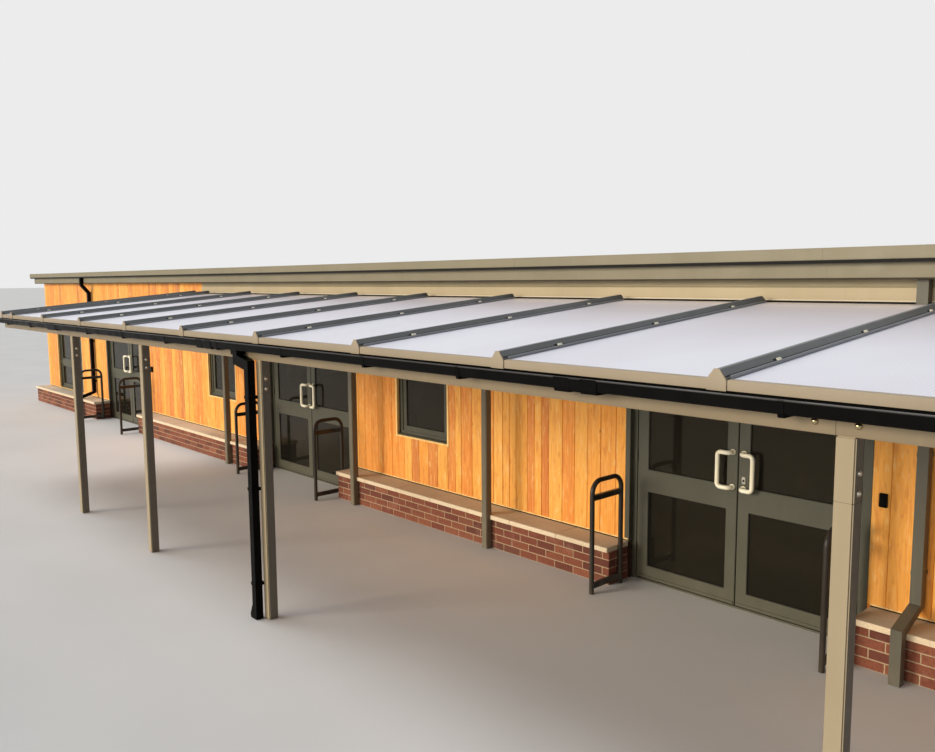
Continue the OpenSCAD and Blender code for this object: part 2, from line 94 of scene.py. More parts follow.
class Finish:
    """One procedural finish: a shader, and short ways to put nodes in front of its sockets."""

    def __init__(self, name, roughness=0.5, metallic=0.0):
        self.material = bpy.data.materials.new(name)
        self.material.use_nodes = True
        self.tree = self.material.node_tree
        self.shader = self.tree.nodes["Principled BSDF"]
        self.shader.inputs["Roughness"].default_value = roughness
        self.shader.inputs["Metallic"].default_value = metallic
        self.place = self.node("ShaderNodeTexCoord").outputs["Object"]

    def node(self, kind, **settings):
        """A new node with its settings."""
        made = self.tree.nodes.new(kind)
        for name, value in settings.items():
            setattr(made, name, value)
        return made

    def feed(self, socket, value):
        """Links another node's output to a socket, or sets the socket to a plain value."""
        if isinstance(value, bpy.types.NodeSocket):
            self.tree.links.new(value, socket)
        else:
            socket.default_value = value

    def set(self, **sockets):
        """Feeds the shader's own sockets by name, with _ for a space."""
        for name, value in sockets.items():
            self.feed(self.shader.inputs[name.replace("_", " ")], value)

    def noise(self, scale, detail=3.0, stretch=(1, 1, 1), place=None, warp=0.0):
        """Soft random clouds; a large number in stretch makes them narrow along that axis."""
        spot = self.node("ShaderNodeMapping")
        self.feed(spot.inputs["Vector"], place or self.place)
        self.feed(spot.inputs["Scale"], stretch)
        made = self.node("ShaderNodeTexNoise")
        self.feed(made.inputs["Vector"], spot.outputs[0])
        self.feed(made.inputs["Scale"], scale)
        self.feed(made.inputs["Detail"], detail)
        self.feed(made.inputs["Distortion"], warp)
        return made.outputs[0]

    def ramp(self, value, *stops):
        """Turns a value into a colour by (position, colour) stops."""
        made = self.node("ShaderNodeValToRGB")
        self.feed(made.inputs[0], value)
        bar = made.color_ramp.elements
        bar[0].position, bar[0].color = stops[0]
        bar[1].position, bar[1].color = stops[-1]
        for position, colour in stops[1:-1]:
            bar.new(position).color = colour
        return made.outputs[0]

    def scaled(self, value, low, high, out_low=0.0, out_high=1.0):
        """Stretches the range from low to high over the range from out_low to out_high."""
        made = self.node("ShaderNodeMapRange")
        for socket, number in zip(made.inputs, (value, low, high, out_low, out_high)):
            self.feed(socket, number)
        return made.outputs[0]

    def mix(self, share, first, second):
        """Two colours mixed; share is how much of the second shows."""
        made = self.node("ShaderNodeMix", data_type="RGBA")
        for index, value in ((0, share), (6, first), (7, second)):
            self.feed(made.inputs[index], value)
        return made.outputs[2]

    def combine(self, way, first, second):
        """Two numbers put together by one of the Math node's ways."""
        made = self.node("ShaderNodeMath", operation=way)
        self.feed(made.inputs[0], first)
        self.feed(made.inputs[1], second)
        return made.outputs[0]

    def drift(self, scale, detail, dark, light, low=0.3, high=0.7):
        """Lets the base colour drift between two shades in soft clouds."""
        self.set(Base_Color=self.ramp(self.noise(scale, detail), (low, dark), (high, light)))

    def relief(self, height, depth):
        """Bumps the surface by a height pattern that is depth metres deep."""
        made = self.node("ShaderNodeBump")
        self.feed(made.inputs["Height"], height)
        self.feed(made.inputs["Distance"], depth)
        self.feed(self.shader.inputs["Normal"], made.outputs[0])

    def tone(self):
        """The random tone that each block carries."""
        return self.node("ShaderNodeAttribute", attribute_name="tone").outputs["Fac"]

    def axis(self, letter):
        """How far along X, Y or Z the point is."""
        made = self.node("ShaderNodeSeparateXYZ")
        self.feed(made.inputs[0], self.place)
        return made.outputs[letter]

    def facing_up(self):
        """1 on a face that looks straight up, 0 on a wall."""
        made = self.node("ShaderNodeSeparateXYZ")
        self.feed(made.inputs[0], self.node("ShaderNodeNewGeometry").outputs["Normal"])
        return made.outputs["Z"]


print("a mid grey of 128 is", round(tint(128, 128, 128)[0], 3), "as light")

# %% [markdown]
# ## Floor, sky and lamps
# The real light is low and warm and comes from the left, behind the camera. The opal canopy spreads it,
# so that the boards below it glow evenly. Three sun lamps copy this: a low key with soft edges, a wide glow
# that comes in almost level under the canopy, and a cool one from above for the roof and the sheets.
# A pale world fills the rest. The camera, reflections and glass see it as a plain pale backdrop. It lights
# the object more gently than that, and less from the right, where the real posts have their dark sides.

# %% Floor
FLOOR_REACH, FLOOR_DROP = 500, 0.002
floor_finish = Finish("floor_paper", roughness=0.95)
floor_finish.drift(0.6, 2, tint(208, 207, 203), tint(214, 213, 209))
floor_mesh = bpy.data.meshes.new("floor")
corners = [(x * FLOOR_REACH, y * FLOOR_REACH, -FLOOR_DROP) for x, y in ((-1, -1), (1, -1), (1, 1), (-1, 1))]
floor_mesh.from_pydata(corners, [], [(0, 1, 2, 3)])
floor_mesh.materials.append(floor_finish.material)
floor = bpy.data.objects.new("floor", floor_mesh)
bpy.context.scene.collection.objects.link(floor)
print("floor reaches", FLOOR_REACH, "m each way")

# %% World
world = bpy.data.worlds.new("pale_sky")
bpy.context.scene.world = world
world.use_nodes = True
sky = world.node_tree


def sky_node(kind, operation=None):
    """A new node in the world's tree."""
    made = sky.nodes.new(kind)
    if operation:
        made.operation = operation
    return made


backdrop = sky.nodes["Background"]
backdrop.inputs["Color"].default_value = tint(236, 236, 236)
backdrop.inputs["Strength"].default_value = 1.0
soft_light = sky_node("ShaderNodeBackground")
soft_light.inputs["Color"].default_value = tint(214, 226, 250)
leftness = sky_node("ShaderNodeVectorMath", "DOT_PRODUCT")
leftness.inputs[1].default_value = (-1.0, 0.0, 0.25)
FROM_RIGHT, FROM_LEFT, WEAKEST, STRONGEST = -0.8, 0.4, 0.10, 0.36
soft_strength = sky_node("ShaderNodeMapRange")
for socket, number in zip(list(soft_strength.inputs)[1:5], (FROM_RIGHT, FROM_LEFT, WEAKEST, STRONGEST)):
    socket.default_value = number
sky.links.new(sky_node("ShaderNodeTexCoord").outputs["Generated"], leftness.inputs[0])
sky.links.new(leftness.outputs["Value"], soft_strength.inputs[0])
sky.links.new(soft_strength.outputs[0], soft_light.inputs["Strength"])

ray = sky_node("ShaderNodeLightPath")
mirrored_or_through = sky_node("ShaderNodeMath", "ADD")
sky.links.new(ray.outputs["Is Glossy Ray"], mirrored_or_through.inputs[0])
sky.links.new(ray.outputs["Is Transmission Ray"], mirrored_or_through.inputs[1])
seen = sky_node("ShaderNodeMath", "ADD")
seen.use_clamp = True
sky.links.new(ray.outputs["Is Camera Ray"], seen.inputs[0])
sky.links.new(mirrored_or_through.outputs[0], seen.inputs[1])
chooser = sky_node("ShaderNodeMixShader")
sky.links.new(seen.outputs[0], chooser.inputs[0])
sky.links.new(soft_light.outputs[0], chooser.inputs[1])
sky.links.new(backdrop.outputs[0], chooser.inputs[2])
sky.links.new(chooser.outputs[0], sky.nodes["World Output"].inputs[0])
print("soft light from", WEAKEST, "on the right to", STRONGEST, "on the left")

# %% Lamps
def add_sun(name, heading, height, strength, softness, colour):
    """A sun lamp whose light travels heading degrees from +Y towards +X, from height degrees up."""
    lamp = bpy.data.lights.new(name, "SUN")
    lamp.energy = strength
    lamp.angle = math.radians(softness)
    lamp.color = colour
    sun = bpy.data.objects.new(name, lamp)
    bpy.context.scene.collection.objects.link(sun)
    turn, rise = math.radians(heading), math.radians(height)
    travel = Vector((math.sin(turn) * math.cos(rise), math.cos(turn) * math.cos(rise), -math.sin(rise)))
    sun.rotation_mode = "QUATERNION"
    sun.rotation_quaternion = travel.to_track_quat("-Z", "Y")
    print(name, "travels along", [round(v, 2) for v in travel])


add_sun("low_key", heading=26, height=14, strength=1.88, softness=20, colour=(1.0, 0.90, 0.75))
add_sun("glow_under_canopy", heading=6, height=7, strength=1.7, softness=40, colour=(1.0, 0.92, 0.78))
add_sun("overhead", heading=70, height=66, strength=1.4, softness=30, colour=(0.97, 0.98, 1.0))

# %% [markdown]
# ## Sizes from the solids
# Posts, bars, windows and panes come in rows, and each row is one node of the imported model.
# Their places could be typed in again, but then the two would drift apart when a size changes.
# So a node is split into its separate solids, and the box round each one gives its place and size.
# Lengths across the wall are measured from the face of the front boarding, as they are on the drawings.

# %% Measure the solids
BOARD_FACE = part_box("front_wall_1")[0][1]


def fine(length):
    """A length to a tenth of a millimetre, which drops the noise of stored numbers."""
    return round(length, 4)


def from_face(corner):
    """A corner in the frame, with Y counted from the face of the boarding."""
    return fine(corner[0]), fine(corner[1] - BOARD_FACE), fine(corner[2])


def box_of(node):
    """The lowest and the highest corner of a node."""
    low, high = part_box(node)
    return from_face(low), from_face(high)


def solids_of(node):
    """The lowest and highest corner of each separate solid in a node, from left to right."""
    shape = bmesh.new()
    shape.from_mesh(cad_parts[node].data)
    bmesh.ops.remove_doubles(shape, verts=shape.verts, dist=1e-5)
    waiting = set(shape.verts)
    boxes = []
    while waiting:
        solid = [waiting.pop()]
        for vert in solid:
            for edge in vert.link_edges:
                neighbour = edge.other_vert(vert)
                if neighbour in waiting:
                    waiting.remove(neighbour)
                    solid.append(neighbour)
        low = [min(vert.co[i] for vert in solid) for i in range(3)]
        high = [max(vert.co[i] for vert in solid) for i in range(3)]
        boxes.append((from_face(low), from_face(high)))
    shape.free()
    return sorted(boxes)


def middle(box):
    """The X of the middle of a box."""
    return fine((box[0][0] + box[1][0]) / 2)


right_wall, back_wall = box_of("right_wall"), box_of("back_wall")
HALF, TOP, DEPTH = right_wall[1][0], right_wall[1][2], back_wall[1][1]
WALL = fine(HALF - right_wall[0][0])
print("half length", HALF, "depth", DEPTH, "wall", WALL, "top", TOP)

# %% [markdown]
# ## Tools for shapes
# Boards, bricks and slabs are all blocks with slightly broken edges, and there are many of them.
# A modifier on a thousand cubes would be slow, so one bevelled cube is kept as a pattern and stretched.
# Each block also carries a random tone, which its finish reads, so that no two boards or bricks look alike.

# %% Blocks
def bevelled_pattern():
    """A cube with one bevel, as signs, insets and faces, from which any block is cut."""
    cube = bmesh.new()
    bmesh.ops.create_cube(cube, size=2)
    bmesh.ops.bevel(cube, geom=cube.edges[:], offset=0.5, segments=1, affect="EDGES")
    cube.verts.index_update()
    signs = [[math.copysign(1, v) for v in vert.co] for vert in cube.verts]
    insets = [[round((1 - abs(v)) * 2) for v in vert.co] for vert in cube.verts]
    faces = [[vert.index for vert in face.verts] for face in cube.faces]
    cube.free()
    return signs, insets, faces


BLOCK = bevelled_pattern()
print("block pattern has", len(BLOCK[2]), "faces")


def show(name, mesh, finishes, body="building", stands_for=()):
    """Puts a mesh in the scene as one piece of the building."""
    piece = bpy.data.objects.new(name, mesh)
    bpy.context.scene.collection.objects.link(piece)
    for finish in finishes:
        mesh.materials.append(finish.material)
    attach(piece, body)
    if stands_for:
        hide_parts(*stands_for)
    print(f"{name}: {len(mesh.polygons)} faces")
    return piece


class Blocks:
    """Many bevelled blocks gathered into one mesh, each with its own tone."""

    def __init__(self):
        self.points, self.faces, self.tones = [], [], []

    def add(self, low, high, edge=0.003, tone=0.5, turn=None):
        """One block between two corners, with its edges broken by edge; turn moves it afterwards."""
        start = len(self.points)
        half = [(b - a) / 2 for a, b in zip(low, high)]
        edge = min(edge, min(half) * 0.8)
        signs, insets, faces = BLOCK
        for sign, inset in zip(signs, insets):
            spot = Vector([low[i] + half[i] + sign[i] * (half[i] - inset[i] * edge) for i in range(3)])
            self.points.append(turn @ spot if turn else spot)
        self.faces += [[start + index for index in face] for face in faces]
        self.tones += [tone] * len(faces)

    def show(self, name, finish, slot, body="building", stands_for=()):
        """Makes the mesh and puts it in the scene."""
        mesh = bpy.data.meshes.new(name)
        mesh.from_pydata(self.points, [], self.faces)
        mesh.transform(Matrix.Translation((0, BOARD_FACE, 0)))
        mesh.attributes.new("tone", "FLOAT", "FACE").data.foreach_set("value", self.tones)
        return show(name, mesh, [finish], body, stands_for)


# %% [markdown]
# Parts whose solid is already right, such as a door leaf or a post, only need their razor edges broken.
# soften() copies such a solid, joins its flat triangles back into faces and bevels every sharp edge.
# Small round parts, such as bolt heads, are turned: a profile spun round an axis, as on a lathe.

# %% Softened solids and turned parts
BREAK_ABOVE, CREASE_ABOVE, FLAT_BELOW = math.radians(28), math.radians(40), math.radians(1)


def soften(node, finishes, edge=0.003, smooth=False, body="building", second=None):
    """A copy of a solid with broken edges, which stands for it. second(face) picks the second finish."""
    shape = bmesh.new()
    shape.from_mesh(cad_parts[node].data)
    bmesh.ops.remove_doubles(shape, verts=shape.verts, dist=1e-5)
    bmesh.ops.dissolve_limit(shape, angle_limit=FLAT_BELOW, verts=shape.verts, edges=shape.edges)
    if edge:
        sharp = [e for e in shape.edges if len(e.link_faces) == 2 and e.calc_face_angle(0) > BREAK_ABOVE]
        bmesh.ops.bevel(shape, geom=sharp, offset=edge, segments=2, affect="EDGES", clamp_overlap=True)
    for face in shape.faces:
        face.smooth = smooth
        face.material_index = 1 if second and second(face) else 0
    mesh = bpy.data.meshes.new(node + "_finished")
    shape.to_mesh(mesh)
    shape.free()
    if smooth:
        mesh.set_sharp_from_angle(angle=CREASE_ABOVE)
    return show(node + "_finished", mesh, finishes, body, [node])


def paint_node(node, finish):
    """Gives a solid that stays as it is its finish."""
    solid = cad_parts[node]
    solid.data.materials.clear()
    solid.data.materials.append(finish.material)
    print(f"{node}: painted as it is")


class Turned:
    """Turned parts gathered into one mesh: each is a profile of (radius, height) spun round an axis."""

    def __init__(self):
        self.shape = bmesh.new()

    def add(self, profile, at, axis, sides=20):
        """One turned part that stands at a place and points along an axis."""
        turn = Vector(axis).to_track_quat("Z", "Y").to_matrix()
        rings = []
        for radius, height in profile:
            ring = []
            for step in range(sides):
                angle = math.tau * step / sides
                spot = turn @ Vector((radius * math.cos(angle), radius * math.sin(angle), height))
                ring.append(self.shape.verts.new(Vector(at) + spot))
            rings.append(ring)
        for low, high in zip(rings, rings[1:]):
            for step in range(sides):
                after = (step + 1) % sides
                self.shape.faces.new((low[step], low[after], high[after], high[step])).smooth = True
        self.shape.faces.new(rings[-1])
        self.shape.faces.new(list(reversed(rings[0])))

    def show(self, name, finish, slot, body="building"):
        """Makes the mesh and puts it in the scene."""
        mesh = bpy.data.meshes.new(name)
        self.shape.to_mesh(mesh)
        self.shape.free()
        mesh.transform(Matrix.Translation((0, BOARD_FACE, 0)))
        mesh.set_sharp_from_angle(angle=CREASE_ABOVE)
        return show(name, mesh, [finish], body)


# %% [markdown]
# ## Cedar boarding
# The walls are clad with upright cedar boards of mixed widths, from straw yellow to red brown, with thin dark
# joints, fine upright grain, a few knots and scattered paler flecks.
# A painted stripe pattern would look flat at the joints, so every board is its own block on a dark backing.
# The finish shifts its grain by each board's tone, so that the figure never runs across a joint.

# %% Cedar finish
def cedar_finish(name, *shades):
    """Cedar whose colour runs through the shades as the board's tone goes from 0 to 1."""
    cedar = Finish(name, roughness=0.6)
    tone = cedar.tone()
    shift = cedar.node("ShaderNodeVectorMath", operation="MULTIPLY_ADD")
    cedar.feed(shift.inputs[0], tone)
    cedar.feed(shift.inputs[1], (31.0, 17.0, 9.0))
    cedar.feed(shift.inputs[2], cedar.place)
    board = shift.outputs[0]
    fibre = cedar.noise(1.0, 5, (90, 90, 2.2), board)
    figure = cedar.noise(1.0, 2, (9, 9, 0.5), board, warp=0.7)
    rings = cedar.combine("PINGPONG", cedar.combine("MULTIPLY", figure, 14.0), 1.0)
    fleck = cedar.noise(1.0, 4, (34, 34, 7), board, warp=0.6)
    weather = cedar.noise(0.9, 3)
    colour = cedar.ramp(tone, *shades)
    colour = cedar.mix(cedar.scaled(rings, 0.0, 0.45, 0.42, 0.0), colour, tint(206, 108, 36))
    colour = cedar.mix(cedar.scaled(fibre, 0.35, 0.7, 0.0, 0.45), colour, tint(252, 190, 92))
    colour = cedar.mix(cedar.scaled(fleck, 0.56, 0.7, 0.0, 0.5), colour, tint(255, 212, 136))
    colour = cedar.mix(cedar.scaled(fleck, 0.44, 0.32, 0.0, 0.35), colour, tint(196, 108, 40))
    colour = cedar.mix(cedar.scaled(weather, 0.55, 0.75, 0.0, 0.3), colour, tint(204, 126, 56))
    stretched = cedar.node("ShaderNodeMapping")
    cedar.feed(stretched.inputs["Vector"], board)
    cedar.feed(stretched.inputs["Scale"], (5.5, 5.5, 2.6))
    cells = cedar.node("ShaderNodeTexVoronoi")
    cedar.feed(cells.inputs["Scale"], 1.0)
    cedar.feed(cells.inputs["Vector"], stretched.outputs[0])
    knot = cedar.scaled(cells.outputs["Distance"], 0.02, 0.07, 0.5, 0.0)
    colour = cedar.mix(knot, colour, tint(140, 76, 36))
    cedar.set(Base_Color=colour, Roughness=cedar.scaled(fibre, 0.3, 0.7, 0.72, 0.5))
    cedar.relief(cedar.combine("ADD", fibre, rings), 0.0012)
    return cedar


CEDAR = cedar_finish(
    "cedar", (0.0, tint(250, 178, 74)), (0.25, tint(247, 161, 54)), (0.5, tint(239, 145, 44)),
    (0.72, tint(221, 125, 40)), (0.9, tint(195, 101, 35)), (1.0, tint(148, 78, 34)),
)
PALE_CEDAR = cedar_finish("pale_cedar", (0.0, tint(255, 220, 146)), (1.0, tint(252, 204, 118)))
BACKING = Finish("breather_membrane", roughness=0.9)
BACKING.drift(30, 3, tint(52, 34, 20), tint(78, 52, 30))
PLASTER = Finish("painted_plaster", roughness=0.85)
PLASTER.drift(3, 3, tint(204, 200, 190), tint(214, 210, 201))
PLASTER.relief(PLASTER.noise(160, 4), 0.0006)
print("finishes so far:", CEDAR.material.name, BACKING.material.name, PLASTER.material.name)

# %% [markdown]
# Behind the boards stands the wall itself, with its window and door openings right through it.
# Cutting holes with Boolean modifiers would leave long thin triangles, so the core is laid out as a grid of
# cells instead: the cells that fall in an opening are left out, and faces are drawn only where a cell ends.

# %% Openings
DOORS = [middle(box_of(f"door_{number}_frame")) for number in (1, 2, 3)]
DOOR_HALF = fine(DOORS[0] - box_of("front_wall_1")[1][0])
DOOR_TOP = box_of("wall_over_doors")[0][2]


def windows_in(node):
    """The middle, the width and the height of the sill of each window frame in a node."""
    return [(middle((low, high)), fine(high[0] - low[0]), low[2]) for low, high in solids_of(node)]


def window_holes(windows):
    """The openings of a row of windows as (left, right, sill, head)."""
    return [(x - width / 2, x + width / 2, sill, DOOR_TOP) for x, width, sill in windows]


FRONT_WINDOWS = windows_in("front_window_frames")
front_holes = window_holes(FRONT_WINDOWS) + [(x - DOOR_HALF, x + DOOR_HALF, 0.0, DOOR_TOP) for x in DOORS]
rear_holes = window_holes(windows_in("rear_window_frames"))
print("openings:", len(front_holes), "in front,", len(rear_holes), "behind")

# %% Wall cores
SKIN = 0.022


def wall_core(name, start, stop, outside, inside, holes, runs_along, nodes):
    """A pierced wall between two depths. runs_along is 0 for a wall along X and 1 for one along Y."""
    runs = sorted({start, stop, *(v for hole in holes for v in hole[:2])})
    rises = sorted({0.0, TOP, *(v for hole in holes for v in hole[2:])})
    solid = {
        (i, k)
        for i in range(len(runs) - 1) for k in range(len(rises) - 1)
        if not any(h[0] <= runs[i] < h[1] and h[2] <= rises[k] < h[3] for h in holes)
    }
    shape = bmesh.new()
    found = {}

    def corner(i, k, depth):
        spot = (runs[i], depth, rises[k]) if runs_along == 0 else (depth, runs[i], rises[k])
        if spot not in found:
            found[spot] = shape.verts.new(spot)
        return found[spot]

    for i, k in sorted(solid):
        cell = ((i, k), (i + 1, k), (i + 1, k + 1), (i, k + 1))
        for depth, index in ((outside, 0), (inside, 1)):
            shape.faces.new([corner(*place, depth) for place in cell]).material_index = index
        ends = (
            ((i - 1, k), (i, k), (i, k + 1)), ((i + 1, k), (i + 1, k), (i + 1, k + 1)),
            ((i, k - 1), (i, k), (i + 1, k)), ((i, k + 1), (i, k + 1), (i + 1, k + 1)),
        )
        for beside, a, b in ends:
            if beside not in solid:
                loop = (corner(*a, outside), corner(*b, outside), corner(*b, inside), corner(*a, inside))
                shape.faces.new(loop)
    bmesh.ops.recalc_face_normals(shape, faces=shape.faces)
    mesh = bpy.data.meshes.new(name)
    shape.to_mesh(mesh)
    shape.free()
    mesh.transform(Matrix.Translation((0, BOARD_FACE, 0)))
    return show(name, mesh, [BACKING, PLASTER], stands_for=nodes)


front_nodes = ["front_wall_1", "front_wall_2", "front_wall_3", "front_wall_4", "wall_over_doors"]
END = HALF - SKIN
wall_core("front_wall_core", -END, END, SKIN, WALL, front_holes, 0, front_nodes)
wall_core("back_wall_core", -END, END, DEPTH - SKIN, DEPTH - WALL, rear_holes, 0, ["back_wall"])
wall_core("left_wall_core", WALL, DEPTH - WALL, -END, -HALF + WALL, [], 1, ["left_wall"])
wall_core("right_wall_core", WALL, DEPTH - WALL, END, HALF - WALL, [], 1, ["right_wall"])

# %% [markdown]
# The boards are laid out as a joiner would: mixed widths from end to end, cut round each opening.
# A seeded random choice of widths gives the uneven rhythm of the photograph and the same wall on every run.

# %% How boards are laid
BOARD_WIDTHS = (0.096, 0.126, 0.138, 0.156, 0.174)
LAST_BOARD, BOARD_BACK, BOARD_EDGE, SHORTEST = 0.2, 0.0205, 0.0035, 0.03
JOINT_HALVES, UNEVEN = (0.001, 0.0015, 0.0028), 0.003
FOOT = fine(box_of("stone_coping")[1][2] + 0.011)
lay = random.Random(22)


def board_edges(start, stop):
    """Joint positions for a run of boards that ends flush at stop."""
    edges = [start]
    while stop - edges[-1] > LAST_BOARD:
        edges.append(edges[-1] + lay.choice(BOARD_WIDTHS))
    return edges + [stop]


def board_tone():
    """Most boards are straw to orange, a quarter are deeper and one in ten is red brown."""
    kind = lay.random()
    if kind < 0.65:
        return lay.uniform(0.0, 0.5)
    if kind < 0.9:
        return lay.uniform(0.45, 0.75)
    return lay.uniform(0.72, 0.95)


def clad(blocks, start, stop, holes, spot):
    """Boards from start to stop. spot(run, depth, z) turns a place on the wall into one in the building."""
    marks = sorted({start, stop, *(v for h in holes for v in h[:2] if start < v < stop)})
    for left, right in zip(marks, marks[1:]):
        centre = (left + right) / 2
        hole = next((h for h in holes if h[0] < centre < h[1]), None)
        rises = [(FOOT, TOP)] if hole is None else [(FOOT, hole[2]), (hole[3], TOP)]
        edges = board_edges(left, right)
        for a, b in zip(edges, edges[1:]):
            tone, sunk, gap = board_tone(), lay.uniform(0.0, UNEVEN), lay.choice(JOINT_HALVES)
            for low, high in rises:
                if high - low > SHORTEST:
                    p, q = spot(a + gap, sunk, low), spot(b - gap, BOARD_BACK, high)
                    near, far = [min(v) for v in zip(p, q)], [max(v) for v in zip(p, q)]
                    blocks.add(near, far, BOARD_EDGE, tone)


print("boards start", FOOT, "m up")

# %% Boards on all four walls
SIDE_START, SIDE_STOP = 0.021, DEPTH - 0.021
boards = Blocks()
clad(boards, -HALF, HALF, front_holes, lambda run, depth, z: (run, depth, z))
boards.show("front_boards", CEDAR, "cedar_boards")
boards = Blocks()
clad(boards, -HALF, HALF, rear_holes, lambda run, depth, z: (run, DEPTH - depth, z))
clad(boards, SIDE_START, SIDE_STOP, [], lambda run, depth, z: (-HALF + depth, run, z))
clad(boards, SIDE_START, SIDE_STOP, [], lambda run, depth, z: (HALF - depth, run, z))
boards.show("side_and_rear_boards", CEDAR, "cedar_boards")

# %% [markdown]
# A pale timber strip closes the foot of the boards above the coping, and narrow strips frame each front
# window. They are blocks too, in a paler cedar.
# To the right of each doorway the ledge stops short, and a red-brown board runs down to the ground there.

# %% Foot strip and window surrounds
LEDGE_LEFT, LEDGE_RIGHT = 1.035, 1.1
stops = [-HALF] + [v for x in DOORS for v in (x - LEDGE_LEFT, x + LEDGE_RIGHT)] + [HALF]
ledges = list(zip(stops[::2], stops[1::2]))
STRIP_TALL, STRIP_NEAR, STRIP_FAR = 0.013, -0.009, 0.004
FRAMING_WIDE, FRAMING_LAP, FRAMING_NEAR, FRAMING_FAR = 0.024, 0.004, -0.007, 0.030
SILL_TALL, SILL_LAP, HIGH_SILL, STRIP_EDGE = 0.018, 0.002, 0.5, 0.002
FOOT_BOARD_NEAR, FOOT_BOARD_FAR, FOOT_BOARD_START, RED_BROWN = 0.001, 0.021, 0.004, 0.75

strips = Blocks()
for left, right in ledges:
    strips.add((left, STRIP_NEAR, FOOT), (right, STRIP_FAR, FOOT + STRIP_TALL), STRIP_EDGE, tone=0.08)
for x, width, sill in FRONT_WINDOWS:
    for side in (-1, 1):
        near, far = sorted(x + side * (width / 2 + reach) for reach in (-FRAMING_LAP, FRAMING_WIDE))
        low = (near, FRAMING_NEAR, sill - FRAMING_WIDE)
        strips.add(low, (far, FRAMING_FAR, DOOR_TOP + FRAMING_WIDE), STRIP_EDGE, tone=0.03)
    if sill > HIGH_SILL:
        low = (x - width / 2, FRAMING_NEAR, sill - SILL_TALL)
        strips.add(low, (x + width / 2, FRAMING_FAR, sill + SILL_LAP), STRIP_EDGE, tone=0.03)
strips.show("timber_strips", PALE_CEDAR, "cedar_boards")
foot_boards = Blocks()
for x in DOORS:
    low = (x + DOOR_HALF, FOOT_BOARD_NEAR, FOOT_BOARD_START)
    foot_boards.add(low, (x + LEDGE_RIGHT, FOOT_BOARD_FAR, FOOT), tone=RED_BROWN)
foot_boards.show("doorway_foot_boards", CEDAR, "cedar_boards")

# %% [markdown]
# ## Brick plinth and coping
# Red-brown stretchers with pale lime-coloured joints carry buff concrete coping slabs about 0.6 m long.
# The Brick Texture node would draw them on a flat box, but at the ends of a ledge the bond would break.
# So each brick is a block that stands 4 mm proud of a mortar bed, and the slabs have real open joints.

# %% Brick, mortar and coping finishes
BRICKWORK = Finish("red_brick", roughness=0.88)
brick_colour = BRICKWORK.ramp(
    BRICKWORK.tone(), (0.0, tint(98, 52, 38)), (0.3, tint(118, 62, 44)), (0.6, tint(130, 72, 50)),
    (0.85, tint(142, 84, 58)), (1.0, tint(94, 54, 42)),
)
brick_speckle = BRICKWORK.noise(70, 5)
brick_burn = BRICKWORK.scaled(brick_speckle, 0.5, 0.72, 0.0, 0.6)
brick_colour = BRICKWORK.mix(brick_burn, brick_colour, tint(82, 38, 34))
brick_bloom = BRICKWORK.scaled(BRICKWORK.noise(5, 3), 0.56, 0.75, 0.0, 0.35)
brick_colour = BRICKWORK.mix(brick_bloom, brick_colour, tint(176, 128, 108))
BRICKWORK.set(Base_Color=brick_colour)
BRICKWORK.relief(BRICKWORK.combine("ADD", brick_speckle, BRICKWORK.noise(16, 2)), 0.0018)

MORTAR = Finish("mortar", roughness=0.95)
MORTAR.drift(40, 4, tint(158, 132, 102), tint(192, 164, 130))
MORTAR.relief(MORTAR.noise(220, 3), 0.001)

COPING = Finish("buff_coping", roughness=0.82)
coping_body = COPING.ramp(COPING.tone(), (0.0, tint(226, 204, 170)), (1.0, tint(240, 220, 188)))
coping_grit = COPING.noise(90, 4)
coping_stain = COPING.scaled(COPING.noise(2.3, 5), 0.38, 0.66, 0.3, 1.0)
# The faces that look up take a darker, greyer colour than the bright front edges: painted shade from the low
# light, with stains drifting through it.
coping_top_shaded = COPING.mix(coping_stain, tint(207, 195, 173), tint(187, 174, 151))
coping_colour = COPING.mix(COPING.scaled(COPING.facing_up(), 0.3, 0.9), coping_body, coping_top_shaded)
coping_colour = COPING.mix(COPING.scaled(coping_grit, 0.5, 0.75, 0.0, 0.4), coping_colour, tint(140, 122, 98))
COPING.set(Base_Color=coping_colour)
COPING.relief(coping_grit, 0.0008)
print("masonry finishes:", BRICKWORK.material.name, MORTAR.material.name, COPING.material.name)

# %% Sizes of the masonry
plinth_box, coping_box = box_of("brick_plinth"), box_of("stone_coping")
PLINTH_OUT, PLINTH_TOP, BASE_OUT = -plinth_box[0][1], plinth_box[1][2], fine(plinth_box[1][0] - HALF)
NOSE, COPING_TOP = fine(-coping_box[0][1] - PLINTH_OUT), coping_box[1][2]
BASE_NOSE = fine(coping_box[1][0] - HALF)
COURSE, BRICK_LONG, BRICK_DEEP, JOINT, PROUD = 0.075, 0.215, 0.1025, 0.010, 0.004
BOND, LEAST_BRICK = (1.0, 0.5), 0.05
BRICK_EDGE, MORTAR_EDGE, CLEAR_OF_WALL = 0.003, 0.001, 0.002
COURSES, BACK = round(PLINTH_TOP / COURSE), DEPTH + BASE_OUT
print("ledge stands out", PLINTH_OUT, "m and has", COURSES, "courses")

# %% Bricks
mix_bricks = random.Random(5)
bricks, mortar = Blocks(), Blocks()


def course_heights(course):
    """The foot and the top of the bricks in a course, counted from 0 at the ground."""
    return course * COURSE + JOINT / 2, (course + 1) * COURSE - JOINT / 2


def lay_course(start, stop, course, spot):
    """One course of stretchers from start to stop, staggered by half a brick on every other course."""
    low, high = course_heights(course)
    joints = []
    at = start + (BRICK_LONG + JOINT) * BOND[course % 2]
    while at < stop - LEAST_BRICK:
        joints.append(at)
        at += BRICK_LONG + JOINT
    for a, b in zip([start] + joints, [v - JOINT for v in joints] + [stop]):
        p, q = spot(a, 0.0, low), spot(b, BRICK_DEEP, high)
        near, far = [min(v) for v in zip(p, q)], [max(v) for v in zip(p, q)]
        bricks.add(near, far, BRICK_EDGE, mix_bricks.random())


